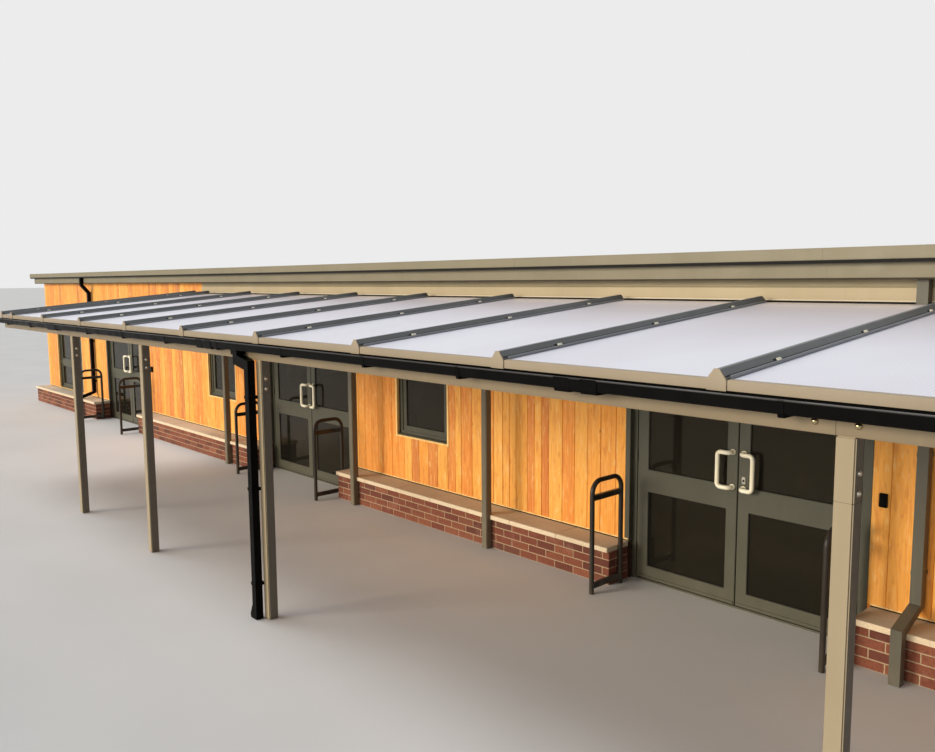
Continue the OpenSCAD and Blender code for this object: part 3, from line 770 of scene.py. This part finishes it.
def behind(depth):
    """A depth in the thin base course, which has no room for a whole brick."""
    return min(depth, BASE_OUT - PROUD)


for left, right in ledges:
    low = (left + PROUD, -PLINTH_OUT + PROUD, 0.0)
    mortar.add(low, (right - PROUD, 0.0, PLINTH_TOP), MORTAR_EDGE)
    for course in range(COURSES):
        lay_course(left, right, course, lambda run, depth, z: (run, -PLINTH_OUT + depth, z))
        low, high = course_heights(course)
        for near, far in ((left, left + BRICK_DEEP), (right - BRICK_DEEP, right)):
            return_start = -PLINTH_OUT + BRICK_DEEP + JOINT
            first, last = (near, return_start, low), (far, -CLEAR_OF_WALL, high)
            bricks.add(first, last, BRICK_EDGE, mix_bricks.random())
for side in (-1, 1):
    x0, x1 = sorted((side * HALF, side * (HALF + BASE_OUT - PROUD)))
    mortar.add((x0, 0.0, 0.0), (x1, BACK - PROUD, PLINTH_TOP), MORTAR_EDGE)
mortar.add((-HALF, DEPTH, 0.0), (HALF, BACK - PROUD, PLINTH_TOP), MORTAR_EDGE)
for course in range(COURSES):
    lay_course(0.0, BACK, course, lambda run, depth, z: (-HALF - BASE_OUT + behind(depth), run, z))
    lay_course(0.0, BACK, course, lambda run, depth, z: (HALF + BASE_OUT - behind(depth), run, z))
    lay_course(-HALF, HALF, course, lambda run, depth, z: (run, BACK - behind(depth), z))
bricks.show("plinth_bricks", BRICKWORK, "brick", stands_for=["brick_plinth"])
mortar.show("plinth_mortar", MORTAR, "brick")

# %% Coping slabs
SLAB, SLAB_JOINT_HALF, WHOLE_EDGE, CUT_EDGE = 0.6, 0.0015, 0.0045, 0.002
rear_posts = solids_of("rear_posts")
REAR_POSTS = [middle(post) for post in rear_posts]
POST_CUT = fine((rear_posts[0][1][0] - rear_posts[0][0][0]) / 2 + 0.001)
slabs = Blocks()


def lay_slabs(start, stop, spot, cuts=()):
    """Slabs from start to stop, each cut back where a post stands. spot gives its low and high corner."""
    count = max(1, round((stop - start) / SLAB))
    for i in range(count):
        a = start + (stop - start) * i / count + (SLAB_JOINT_HALF if i else 0.0)
        b = start + (stop - start) * (i + 1) / count - (SLAB_JOINT_HALF if i < count - 1 else 0.0)
        tone = mix_bricks.random()
        marks = sorted({a, b, *(v for c in cuts for v in (c - POST_CUT, c + POST_CUT) if a < v < b)})
        for left, right in zip(marks, marks[1:]):
            notched = any(abs((left + right) / 2 - c) < POST_CUT for c in cuts)
            low, high = spot(left, right, notched)
            slabs.add(low, high, WHOLE_EDGE if len(marks) == 2 else CUT_EDGE, tone)


def ledge_slab(a, b, notched):
    """A slab on the front ledge; a notched one stops flush with the bricks, behind a post."""
    return (a, -PLINTH_OUT - (0 if notched else NOSE), PLINTH_TOP), (b, 0.0, COPING_TOP)


def left_slab(a, b, notched):
    """A slab on the base course of the left-hand end."""
    return (-HALF - BASE_NOSE, a, PLINTH_TOP), (-HALF, b, COPING_TOP)


def right_slab(a, b, notched):
    """A slab on the base course of the right-hand end."""
    return (HALF, a, PLINTH_TOP), (HALF + BASE_NOSE, b, COPING_TOP)


def rear_slab(a, b, notched):
    """A slab on the base course of the rear."""
    return (a, DEPTH, PLINTH_TOP), (b, DEPTH + BASE_NOSE, COPING_TOP)


for left, right in ledges:
    lay_slabs(left, right, ledge_slab, REAR_POSTS)
lay_slabs(0.0, DEPTH + BASE_NOSE, left_slab)
lay_slabs(0.0, DEPTH + BASE_NOSE, right_slab)
lay_slabs(-HALF, HALF, rear_slab)
slabs.show("coping_slabs", COPING, "coping_stone", stands_for=["stone_coping"])

# %% [markdown]
# ## Painted metal
# Doors, windows, posts, beam, fascias and glazing bars are powder-coated metal in a few related greys.
# Powder coating is even but never perfect: a faint orange-peel relief, a slightly uneven gloss, a little dust
# that settles low down, and faint upright streaks. One function makes all these coats from a colour,
# so that they share the same workmanship, as they do on the building.

# %% Powder coats
def powder_coat(name, colour, dust, roughness=0.42, streaks=0.15):
    """A powder coat of one colour, with dust of another on its lowest half metre."""
    coat = Finish(name, roughness=roughness)
    shade = tuple(c * 0.86 for c in colour[:3]) + (1.0,)
    cloud = coat.scaled(coat.noise(1.7, 4, (1, 1, 0.5)), 0.35, 0.7, 0.0, 0.8)
    streak = coat.scaled(coat.noise(1.0, 3, (26, 26, 0.7)), 0.55, 0.85, 0.0, streaks)
    settled = coat.combine("MULTIPLY", coat.scaled(coat.axis("Z"), 0.0, 0.5, 0.5, 0.0), coat.noise(9, 4))
    body = coat.mix(streak, coat.mix(cloud, colour, shade), dust)
    gloss = coat.scaled(coat.noise(5, 4), 0.3, 0.7, roughness - 0.06, roughness + 0.14)
    coat.set(Base_Color=coat.mix(settled, body, dust), Roughness=gloss, Specular_IOR_Level=0.3)
    coat.relief(coat.noise(420, 2), 0.00025)
    return coat


DOOR_GREY = powder_coat("door_grey", tint(81, 80, 66), tint(112, 104, 85), streaks=0.06)
POST_GREY = powder_coat("rear_post_grey", tint(110, 103, 86), tint(156, 142, 116))
POST_BEIGE = powder_coat("front_post_grey", tint(165, 149, 121), tint(190, 172, 140))
# A greyer copy of the front posts' coat for their right-hand faces: painted shade.
POST_SHADE = powder_coat("front_post_shade", tint(112, 107, 96), tint(136, 128, 112))
BEAM_BEIGE = powder_coat("beam_grey", tint(136, 120, 94), tint(164, 146, 114))
TRIM_BEIGE = powder_coat("eaves_grey", tint(164, 149, 126), tint(182, 166, 138))
FASCIA_SAGE = powder_coat("fascia_grey", tint(134, 126, 102), tint(156, 144, 116), roughness=0.45)
# Darker than the flashing: painted shade from the fascia over its top.
SHADED_SAGE = powder_coat("flashing_return_shade", tint(166, 153, 120), tint(178, 164, 130))
# Dark brown-grey: painted shade on the soffit boards under the fascia, and the colour of the fine seam lines
# on posts and beam.
SOFFIT_SHADE_AND_SEAM_GREY = powder_coat("soffit_shade_and_seam_grey", tint(56, 48, 36), tint(84, 74, 58), roughness=0.7)
UPSTAND = powder_coat("upstand_grey", tint(188, 171, 138), tint(204, 187, 152))
# Paler than the flashing: a painted highlight on the top of its hem.
HEM_HIGHLIGHT = powder_coat("hem_highlight", tint(222, 210, 184), tint(212, 198, 170))
BAR_GREY = powder_coat("bar_grey", tint(114, 116, 114), tint(146, 144, 136), roughness=0.36)
SKIRT_GREY = powder_coat("bar_skirt", tint(158, 160, 161), tint(170, 168, 162), roughness=0.36)
PIPE_GREY = powder_coat("pipe_grey", tint(92, 88, 75), tint(128, 120, 99))
TUBE_BLACK = powder_coat("tube_black", tint(46, 41, 35), tint(104, 92, 76), roughness=0.34)
# Paler than the black gutter: a painted highlight along its rolled lip.
LIP_HIGHLIGHT_GREY = powder_coat("gutter_lip_highlight", tint(40, 37, 33), tint(70, 65, 58), roughness=0.35)
print("powder coats ready")

# %% [markdown]
# ## Plastic, rubber and bright metal
# The gutter and its pipe are black plastic with a soft gloss, dulled by dust on the faces that look up.
# The door grips are ivory nylon. Bolts and keyhole plates are bright steel, and the nuts on the beam are zinc
# that has gone a little yellow. All of them are small or smooth, so a colour, a gloss and a faint relief do.

# %% Plastics, rubber, steel and zinc
GUTTER_BLACK = Finish("gutter_black", roughness=0.3)
dust_patches = GUTTER_BLACK.scaled(GUTTER_BLACK.noise(3, 5), 0.5, 0.75, 0.0, 0.12)
dust_catch = GUTTER_BLACK.scaled(GUTTER_BLACK.facing_up(), 0.4, 1.0, 0.1, 1.0)
gutter_dust = GUTTER_BLACK.mix(dust_catch, (0, 0, 0, 1), dust_patches)
gutter_gloss = GUTTER_BLACK.scaled(GUTTER_BLACK.noise(7, 4), 0.3, 0.7, 0.3, 0.5)
GUTTER_BLACK.set(Base_Color=GUTTER_BLACK.mix(gutter_dust, tint(7, 7, 6), tint(96, 90, 80)))
GUTTER_BLACK.set(Roughness=gutter_gloss, Specular_IOR_Level=0.05)
GUTTER_BLACK.relief(GUTTER_BLACK.noise(60, 3), 0.0002)

NYLON = Finish("ivory_nylon", roughness=0.32)
NYLON.drift(12, 4, tint(252, 242, 210), tint(255, 250, 226), high=0.75)
NYLON.relief(NYLON.noise(240, 2), 0.0001)

RUBBER = Finish("black_rubber", roughness=0.7)
RUBBER.drift(50, 3, tint(10, 9, 8), tint(26, 24, 22), high=0.8)
RUBBER.set(Specular_IOR_Level=0.2)
RUBBER.relief(RUBBER.noise(300, 2), 0.0002)

STEEL = Finish("bright_steel", metallic=1.0)
STEEL.drift(60, 3, tint(172, 166, 150), tint(214, 208, 192))
STEEL.set(Roughness=STEEL.scaled(STEEL.noise(90, 3), 0.3, 0.7, 0.18, 0.36))
STEEL.relief(STEEL.noise(200, 3), 0.0001)

ZINC = Finish("yellowed_zinc", roughness=0.24, metallic=1.0)
ZINC.drift(70, 3, tint(168, 150, 112), tint(208, 192, 154))
ZINC.relief(ZINC.noise(260, 3), 0.0001)
print("small finishes:", [finish.material.name for finish in (GUTTER_BLACK, NYLON, RUBBER, STEEL, ZINC)])

# %% [markdown]
# ## Glass and opal sheet
# The glass reads as nearly black, because the rooms behind it are dark. A black surface would do from afar,
# but not close up, so the panes let light through with a grey-brown tint; a low index of refraction keeps
# their reflections faint. The canopy sheets are milky plastic with fine flutes that run down the slope.
# Some light spreads inside them. Their colour dulls towards the wall with painted dust and shade, and is
# paler again below the flashing.

# %% Glass and opal sheet
GLASS = Finish("tinted_glass", roughness=0.015)
GLASS.set(Transmission_Weight=0.91, IOR=1.34, Specular_IOR_Level=0.12, Specular_Tint=tint(255, 230, 194))
glass_smear = GLASS.noise(1.4, 4, (1, 1, 2.5))
GLASS.set(Base_Color=GLASS.ramp(glass_smear, (0.35, tint(98, 95, 82)), (0.75, tint(110, 106, 90))))

OPAL = Finish("opal_sheet", roughness=0.35)
FLUTE_HALF, SHEET_START, SHEET_STOP = 0.010, BOARD_FACE - 1.9, BOARD_FACE - 0.1
flute = OPAL.combine("PINGPONG", OPAL.axis("X"), FLUTE_HALF)
flute_line = OPAL.combine("MULTIPLY", OPAL.scaled(flute, 0.0, FLUTE_HALF, 1.0, 0.0), 0.4)
# Darker towards the wall: painted dust and shade; paler again at the very end, below the flashing.
to_wall = OPAL.scaled(OPAL.axis("Y"), SHEET_START, SHEET_STOP)
opal_colour = OPAL.ramp(
    to_wall, (0.0, tint(240, 240, 249)), (0.5, tint(226, 221, 226)), (0.8, tint(206, 197, 198)),
    (0.93, tint(216, 205, 201)), (1.0, tint(232, 220, 212)),
)
opal_film = OPAL.scaled(OPAL.noise(1.1, 2, (1, 0.5, 1)), 0.4, 0.7, 0.0, 0.35)
opal_colour = OPAL.mix(opal_film, opal_colour, tint(214, 207, 212))
opal_colour = OPAL.mix(flute_line, opal_colour, tint(206, 205, 216))
OPAL.set(Base_Color=opal_colour, Roughness=OPAL.scaled(OPAL.noise(0.7, 1), 0.3, 0.7, 0.33, 0.37))
OPAL.set(Subsurface_Weight=0.4, Subsurface_Radius=(1.0, 1.0, 1.0), Subsurface_Scale=0.03)
OPAL.relief(OPAL.noise(3, 2, (1, 0.3, 1)), 0.0004)
print("glass and opal ready; flutes", 2 * FLUTE_HALF, "m apart")

# %% [markdown]
# ## Windows
# Each window is a grey metal frame set back in the wall, with a sash inside it and a dark rubber line at the
# glass. The solids of the frames are right, so they are softened. The rubber could be a stripe in the finish
# of the frame, but then it would blur close up, so it is made of thin bars round every pane, on both faces.

# %% Window frames, glass and rubber
RUBBER_LINE = 0.006
RUBBER_OUT, RUBBER_EDGE = 0.005, 0.001
soften("front_window_frames", [DOOR_GREY])
soften("rear_window_frames", [DOOR_GREY])


def rubber_ring(blocks, left, right, low, high, near, far):
    """Four thin bars just inside a pane's edge."""
    blocks.add((left, near, low), (left + RUBBER_LINE, far, high), RUBBER_EDGE)
    blocks.add((right - RUBBER_LINE, near, low), (right, far, high), RUBBER_EDGE)
    left, right = left + RUBBER_LINE, right - RUBBER_LINE
    blocks.add((left, near, low), (right, far, low + RUBBER_LINE), RUBBER_EDGE)
    blocks.add((left, near, high - RUBBER_LINE), (right, far, high), RUBBER_EDGE)


def glaze(node, rubber_name, body="building"):
    """Paints the panes of a node as glass and lays rubber round each, in front and behind."""
    paint_node(node, GLASS)
    rubber = Blocks()
    for low, high in solids_of(node):
        for near, far in ((low[1] - RUBBER_OUT, low[1]), (high[1], high[1] + RUBBER_OUT)):
            rubber_ring(rubber, low[0], high[0], low[2], high[2], near, far)
    rubber.show(rubber_name, RUBBER, "grey_paint", body)


glaze("window_glass", "window_rubber")

# %% [markdown]
# ## Doors
# Three pairs of glazed metal doors open outwards. Each leaf has a deep middle rail, a rubber line round both
# panes, an ivory grip on the meeting stile and a drip bar near its foot, and the right-hand leaf has a small
# steel keyhole plate. All of these ride on the leaf's own body, so that they swing with it. The places on a
# right-hand leaf are mirrored for the left, which keeps a pair exactly alike.

# %% Frames, leaves, glass and rubber
SIDES = ((-1, "left"), (1, "right"))
for number in (1, 2, 3):
    soften(f"door_{number}_frame", [DOOR_GREY], 0.002)
    for side, word in SIDES:
        body = f"door_{number}_{word}"
        soften(body + "_leaf", [DOOR_GREY], body=body)
        soften(body + "_handle", [NYLON], 0, smooth=True, body=body)
        glaze(body + "_glass", body + "_rubber", body)

# %% Keyhole plates, drip bars and buttons
leaf_low, leaf_high = box_of("door_2_right_leaf")
LEAF_FACE = leaf_low[1]
KEY_X, KEY_Z = 0.05, 1.078
PLATE_HALF, PLATE_FOOT, PLATE_TOP, PLATE_OUT, PLATE_EDGE = 0.016, 1.05, 1.11, 0.003, 0.0015
LET_IN = 0.001
KEYHOLE = [(0.009, -0.002), (0.009, 0.003), (0.006, 0.004)]
DRIP_INSET, DRIP_FOOT, DRIP_TOP, DRIP_OUT = 0.01, 0.030, 0.052, 0.007
for number, x in enumerate(DOORS, 1):
    right_leaf = f"door_{number}_right"
    plate = Blocks()
    low = (x + KEY_X - PLATE_HALF, LEAF_FACE - PLATE_OUT, PLATE_FOOT)
    plate.add(low, (x + KEY_X + PLATE_HALF, LEAF_FACE + LET_IN, PLATE_TOP), PLATE_EDGE)
    plate.show(f"door_{number}_keyhole_plate", STEEL, "grey_paint", right_leaf)
    keyhole = Turned()
    keyhole.add(KEYHOLE, (x + KEY_X, LEAF_FACE - 0.002, KEY_Z), (0, -1, 0))
    keyhole.show(f"door_{number}_keyhole", RUBBER, "grey_paint", right_leaf)
    for side, word in SIDES:
        reach = (leaf_low[0] + DRIP_INSET, leaf_high[0] - DRIP_INSET)
        left, right = sorted(x + side * distance for distance in reach)
        drip = Blocks()
        drip.add((left, LEAF_FACE - DRIP_OUT, DRIP_FOOT), (right, LEAF_FACE + LET_IN, DRIP_TOP))
        drip.show(f"door_{number}_{word}_drip_bar", DOOR_GREY, "grey_paint", f"door_{number}_{word}")
soften("door_buttons", [GUTTER_BLACK], 0.004)

# %% [markdown]
# ## Roof
# The flat roof ends in two tiers of pressed metal, an upper edge that oversails and a fascia below it.
# Under the fascia, behind the canopy, a pale flashing closes the top of the boarding, with a return whose
# darker coat is painted shade from the fascia above.
# Pressed metal comes in three-metre lengths with a cover strap over each joint; the deck carries a grey
# membrane whose welded laps show as faint lines, drawn in its finish because they are so thin.

# %% Roof finishes and pieces
MEMBRANE = Finish("roof_membrane", roughness=0.8)
LAP_HALF = 0.525
lap = MEMBRANE.combine("PINGPONG", MEMBRANE.axis("X"), LAP_HALF)
lap_edge = MEMBRANE.scaled(lap, 0.0, 0.012, 1.0, 0.0)
cloud = MEMBRANE.noise(0.7, 5)
membrane_colour = MEMBRANE.ramp(cloud, (0.35, tint(116, 116, 112)), (0.65, tint(136, 134, 128)))
lap_share = MEMBRANE.combine("MULTIPLY", lap_edge, 0.5)
membrane_colour = MEMBRANE.mix(lap_share, membrane_colour, tint(78, 78, 76))
MEMBRANE.set(Base_Color=membrane_colour)
pitting = MEMBRANE.combine("MULTIPLY", MEMBRANE.noise(60, 3), 0.3)
MEMBRANE.relief(MEMBRANE.combine("ADD", lap_edge, pitting), 0.002)

soften("roof_deck", [PLASTER, MEMBRANE], 0, second=lambda face: face.normal.z > 0.5)
soften("roof_fascia", [FASCIA_SAGE])
soften("roof_edge", [FASCIA_SAGE], 0.004)
# Faces above this height take the darker coat, which is painted shade under the fascia.
RETURN_FOOT = 2.631
soften("wall_flashing", [UPSTAND, SHADED_SAGE], 0.002,
       second=lambda face: face.calc_center_median().z > RETURN_FOOT)

# %% Joint straps
edge_box, fascia_box = box_of("roof_edge"), box_of("roof_fascia")
TIER, ROOF_TOP = edge_box[0][2], edge_box[1][2]
EDGE_OUT, FASCIA_OUT = fine(edge_box[1][0] - HALF), fine(fascia_box[1][0] - HALF)
STRAP_HALF, STRAP_OUT, STRAP_CLEAR, STRAP_EDGE = 0.025, 0.0012, 0.004, 0.0008
FRONT_JOINTS, SIDE_JOINTS = [1.1 + 3.0 * step for step in range(-3, 4)], (1.6, 4.6, 7.2)
straps = Blocks()
for out, foot, top in ((EDGE_OUT, TIER, ROOF_TOP), (FASCIA_OUT, TOP, TIER)):
    low, high = foot + STRAP_CLEAR, top - STRAP_CLEAR
    for x in FRONT_JOINTS:
        for y in (-out, DEPTH + out):
            near, far = (x - STRAP_HALF, y - STRAP_OUT, low), (x + STRAP_HALF, y + STRAP_OUT, high)
            straps.add(near, far, STRAP_EDGE)
    for y in SIDE_JOINTS:
        for x in (-HALF - out, HALF + out):
            near, far = (x - STRAP_OUT, y - STRAP_HALF, low), (x + STRAP_OUT, y + STRAP_HALF, high)
            straps.add(near, far, STRAP_EDGE)
straps.show("roof_joint_straps", FASCIA_SAGE, "sage_paint")

# %% [markdown]
# Below each tier runs a dark line: the real edges have a drip with an open gap behind it, and a soffit in
# shade.
# A thin dark packer under the upper edge, dark soffit boards under the fascia, and a real rubber closer below
# the flashing, where the opal sheets end, draw these lines as painted shade. They are what separates the
# tiers at a distance.
# The flashing itself ends in a folded hem just above the closer, painted pale as a highlight on its top.

# %% Dark gaps and soffit
def ring_of_blocks(blocks, inner, outer, low, high):
    """Four long blocks that run round the building between two distances from its walls."""
    blocks.add((-HALF - outer, -outer, low), (HALF + outer, -inner, high), 0.001)
    blocks.add((-HALF - outer, DEPTH + inner, low), (HALF + outer, DEPTH + outer, high), 0.001)
    for side in (-1, 1):
        x0, x1 = sorted((side * (HALF + inner), side * (HALF + outer)))
        blocks.add((x0, -inner, low), (x1, DEPTH + inner, high), 0.001)


# The packer is a dark block that stands for the shade in the gap under the upper edge.
GAP_LAP, GAP_SET_BACK, GAP_TALL = 0.002, 0.006, 0.022
gap = Blocks()
ring_of_blocks(gap, FASCIA_OUT - GAP_LAP, EDGE_OUT - GAP_SET_BACK, TIER - GAP_TALL, TIER + GAP_LAP)
gap.show("roof_edge_gap_shade", RUBBER, "sage_paint")
# The soffit boards are dark as painted shade under the fascia.
SOFFIT_LAP, SOFFIT_SET_BACK, SOFFIT_TALL = 0.001, 0.004, 0.012
soffit = Blocks()
ring_of_blocks(soffit, SOFFIT_LAP, FASCIA_OUT - SOFFIT_SET_BACK, TOP - SOFFIT_TALL, TOP + SOFFIT_LAP)
soffit.show("roof_soffit", SOFFIT_SHADE_AND_SEAM_GREY, "sage_paint")

BAR_XS = [middle(bar) for bar in solids_of("glazing_bars")]
CLOSER_LEFT, CLOSER_RIGHT = BAR_XS[0] + 0.061, BAR_XS[-1] + 0.049
# The closer is a real rubber part, and its dark line also stands for the shade under the flashing's hem.
CLOSER_FOOT, HEM_FOOT, HEM_TOP = 2.47, 2.534, 2.544
CLOSER_NEAR, CLOSER_FAR, HEM_NEAR, HEM_FAR = -0.018, 0.002, -0.0245, -0.01
closer = Blocks()
closer.add((CLOSER_LEFT, CLOSER_NEAR, CLOSER_FOOT), (CLOSER_RIGHT, CLOSER_FAR, HEM_FOOT), 0.001)
closer.show("flashing_closer", RUBBER, "beige_paint")
hem = Blocks()
hem.add((CLOSER_LEFT, HEM_NEAR, HEM_FOOT), (CLOSER_RIGHT, HEM_FAR, HEM_TOP), 0.002)
hem.show("flashing_hem", HEM_HIGHLIGHT, "beige_paint")

# %% [markdown]
# ## Canopy steelwork
# Square posts carry a long front beam, and a second row, close to the ledge, carries a plate under the upper
# end of the bars. The right-hand faces of the front posts stand in deeper shade than an even studio light
# makes, so those faces take a slightly greyer coat, and two bolts go into each of them. Two domed nuts sit
# beside the beam's last joint, and fine dark lines show where lengths of beam and post sleeves meet.

# %% Posts, beam and plate
soften("front_posts", [POST_BEIGE, POST_SHADE], 0.006, second=lambda face: face.normal.x > 0.9)
soften("rear_posts", [POST_GREY], 0.006)
soften("front_beam", [BEAM_BEIGE], 0.004)
soften("wall_plate", [POST_GREY], 0.004)

# %% Bolts, nuts and seams
DOMED_BOLT = [
    (0.017, -0.004), (0.017, 0.002), (0.012, 0.0025), (0.0115, 0.006), (0.008, 0.010), (0.003, 0.012),
]
DOMED_NUT = [
    (0.015, -0.004), (0.015, 0.003), (0.0135, 0.007), (0.0105, 0.011), (0.006, 0.014), (0.002, 0.015),
]
BOLT_HEIGHTS, NUT_XS, NUT_Z = (1.87, 1.95), (8.328, 8.499), 2.142
BEAM_JOINTS, SLEEVE_FOOT, SLEEVE_TOP = (-0.49, 8.412), 1.8335, 1.8345
SEAM_OUT, SEAM_EDGE = 0.0005, 0.0003
JOINT_HALF, JOINT_OUT, JOINT_START = 0.001, 0.0006, 0.002
posts, beam_box = solids_of("front_posts"), box_of("front_beam")
beam_face, beam_foot, beam_top = beam_box[0][1], beam_box[0][2], beam_box[1][2]
bolts, nuts, seams = Turned(), Turned(), Blocks()
for x in NUT_XS:
    nuts.add(DOMED_NUT, (x, beam_face, NUT_Z), (0, -1, 0))
for x in BEAM_JOINTS:
    near = (x - JOINT_HALF, beam_face - JOINT_OUT, beam_foot + JOINT_START)
    seams.add(near, (x + JOINT_HALF, beam_face + LET_IN, beam_top), SEAM_EDGE)
for low, high in posts:
    for z in BOLT_HEIGHTS:
        bolts.add(DOMED_BOLT, (high[0], (low[1] + high[1]) / 2, z), (1, 0, 0))
    near = (low[0] - SEAM_OUT, low[1] - SEAM_OUT, SLEEVE_FOOT)
    seams.add(near, (high[0] + SEAM_OUT, high[1] + SEAM_OUT, SLEEVE_TOP), SEAM_EDGE)
bolts.show("canopy_bolts", STEEL, "post_paint")
nuts.show("beam_nuts", ZINC, "post_paint")
seams.show("sleeve_seams", SOFFIT_SHADE_AND_SEAM_GREY, "post_paint")

# %% [markdown]
# ## Glazing bars and sheets
# Dark bars with a ridged cap run up the slope and clamp opal sheets. Each cap ends in a pale house-shaped
# plate, a pale skirt runs down both flanks with a dark rubber line above it that is also painted shade in the
# crease, and bright fixings sit low on the right-hand flank on dark washers that also stand for their shade.
# The solids hold the bars, caps, plates and sheets, so they are softened; the rest is drawn once along a bar,
# in the bar's own place and slope, and repeated for all of them.

# %% Bars, sheets and trims
soften("glazing_bars", [BAR_GREY], 0.002)
soften("bar_caps", [BAR_GREY], 0.002)
soften("bar_end_caps", [TRIM_BEIGE], 0.0015)
soften("eaves_trim", [TRIM_BEIGE], 0.0012)
soften("canopy_sheets", [OPAL], 0.002)

# %% Skirts, creases and fixings
PITCH = math.radians(5)
cap_low = box_of("bar_caps")[0]
BAR_FRONT, BAR_Z, BAR_LENGTH = cap_low[1], cap_low[2], 2.82
SKIRT_IN, SKIRT_OUT, SKIRT_START, SKIRT_TOP = 0.040, 0.0495, 0.036, 0.0165
CREASE_IN, CREASE_OUT, CREASE_START, CREASE_FOOT, CREASE_TOP = 0.036, 0.0425, 0.006, 0.016, 0.0185
FLANK_OUT, FLANK_UP, FLANK_LEAN = 0.0375, 0.0168, math.radians(48.9)
FIXINGS = (0.456, 1.4, 2.343)
# A dark rubber washer under each fixing, which also stands for the shade round it.
WASHER, WASHER_EDGE = ((-0.010, -0.034, -0.001), (0.010, 0.012, 0.002)), 0.001
SCREW, SCREW_EDGE = ((-0.008, -0.012, 0.001), (0.008, 0.026, 0.009)), 0.004


def moved_along(box, along):
    """A box's two corners, moved up the bar."""
    return [(x, y + along, z) for x, y, z in box]


slope = Matrix.Rotation(PITCH, 4, "X")
to_flank = Matrix.Translation((FLANK_OUT, 0, FLANK_UP)) @ Matrix.Rotation(FLANK_LEAN, 4, "Y")
skirts, crease_shades, screws, washers_and_shade = Blocks(), Blocks(), Blocks(), Blocks()
for x in BAR_XS:
    up_the_bar = Matrix.Translation((x, BAR_FRONT, BAR_Z)) @ slope
    for side in (-1, 1):
        near, far = sorted((side * SKIRT_IN, side * SKIRT_OUT))
        skirts.add((near, SKIRT_START, 0.0), (far, BAR_LENGTH, SKIRT_TOP), 0.002, turn=up_the_bar)
        near, far = sorted((side * CREASE_IN, side * CREASE_OUT))
        low = (near, CREASE_START, CREASE_FOOT)
        crease_shades.add(low, (far, BAR_LENGTH, CREASE_TOP), 0.001, turn=up_the_bar)
    flank = up_the_bar @ to_flank
    for along in FIXINGS:
        washers_and_shade.add(*moved_along(WASHER, along), WASHER_EDGE, turn=flank)
        screws.add(*moved_along(SCREW, along), SCREW_EDGE, turn=flank)
skirts.show("bar_skirts", SKIRT_GREY, "bar_paint")
# A dark rubber line in each crease, which is also painted shade where the flank meets the skirt.
crease_shades.show("bar_crease_shades", RUBBER, "bar_paint")
screws.show("bar_fixings", NYLON, "ivory_nylon")
washers_and_shade.show("bar_fixing_washers_and_shade", RUBBER, "bar_paint")

# %% [markdown]
# ## Gutter, pipes and guard hoops
# The gutter, its unions and brackets and the three rainwater pipes are solids already; their edges are broken
# so that they catch a thin line of light, which is what makes black plastic readable.
# A real gutter has a rolled lip along its front, which keeps it straight: a long rounded block gives it, in a
# paler grey that is a painted highlight along the lip.

# %% Gutter, pipes and hoops
soften("gutter", [GUTTER_BLACK], 0.001)
gutter_low, gutter_high = box_of("gutter")
LIP_INSET, LIP_THICK, LIP_TALL, LIP_DROP = 0.005, 0.011, 0.010, 0.0025
LIP_SET_BACK, LIP_EDGE = 0.0005, 0.0045
lip_face, lip_top = gutter_low[1] + LIP_SET_BACK, gutter_high[2] - LIP_DROP
lip = Blocks()
low = (gutter_low[0] + LIP_INSET, lip_face, lip_top - LIP_TALL)
lip.add(low, (gutter_high[0] - LIP_INSET, lip_face + LIP_THICK, lip_top), LIP_EDGE)
lip.show("gutter_lip_highlight", LIP_HIGHLIGHT_GREY, "black_pvc")
soften("gutter_downpipe", [GUTTER_BLACK], 0.005)
soften("black_downpipe", [GUTTER_BLACK], 0.005)
soften("grey_downpipe", [PIPE_GREY], 0.005)
soften("door_hoops", [TUBE_BLACK], 0, smooth=True)

# %% [markdown]
# ## The floor inside
# Through the glass and the open doors a smooth grey floor shows. Its solid is right as it is: it only needs
# the soft clouds and the slight unevenness of a trowelled screed.

# %% Floor inside
SCREED = Finish("floor_screed", roughness=0.6)
SCREED.drift(1.5, 5, tint(120, 116, 108), tint(140, 136, 126))
SCREED.relief(SCREED.noise(30, 4), 0.0006)
paint_node("floor_slab", SCREED)
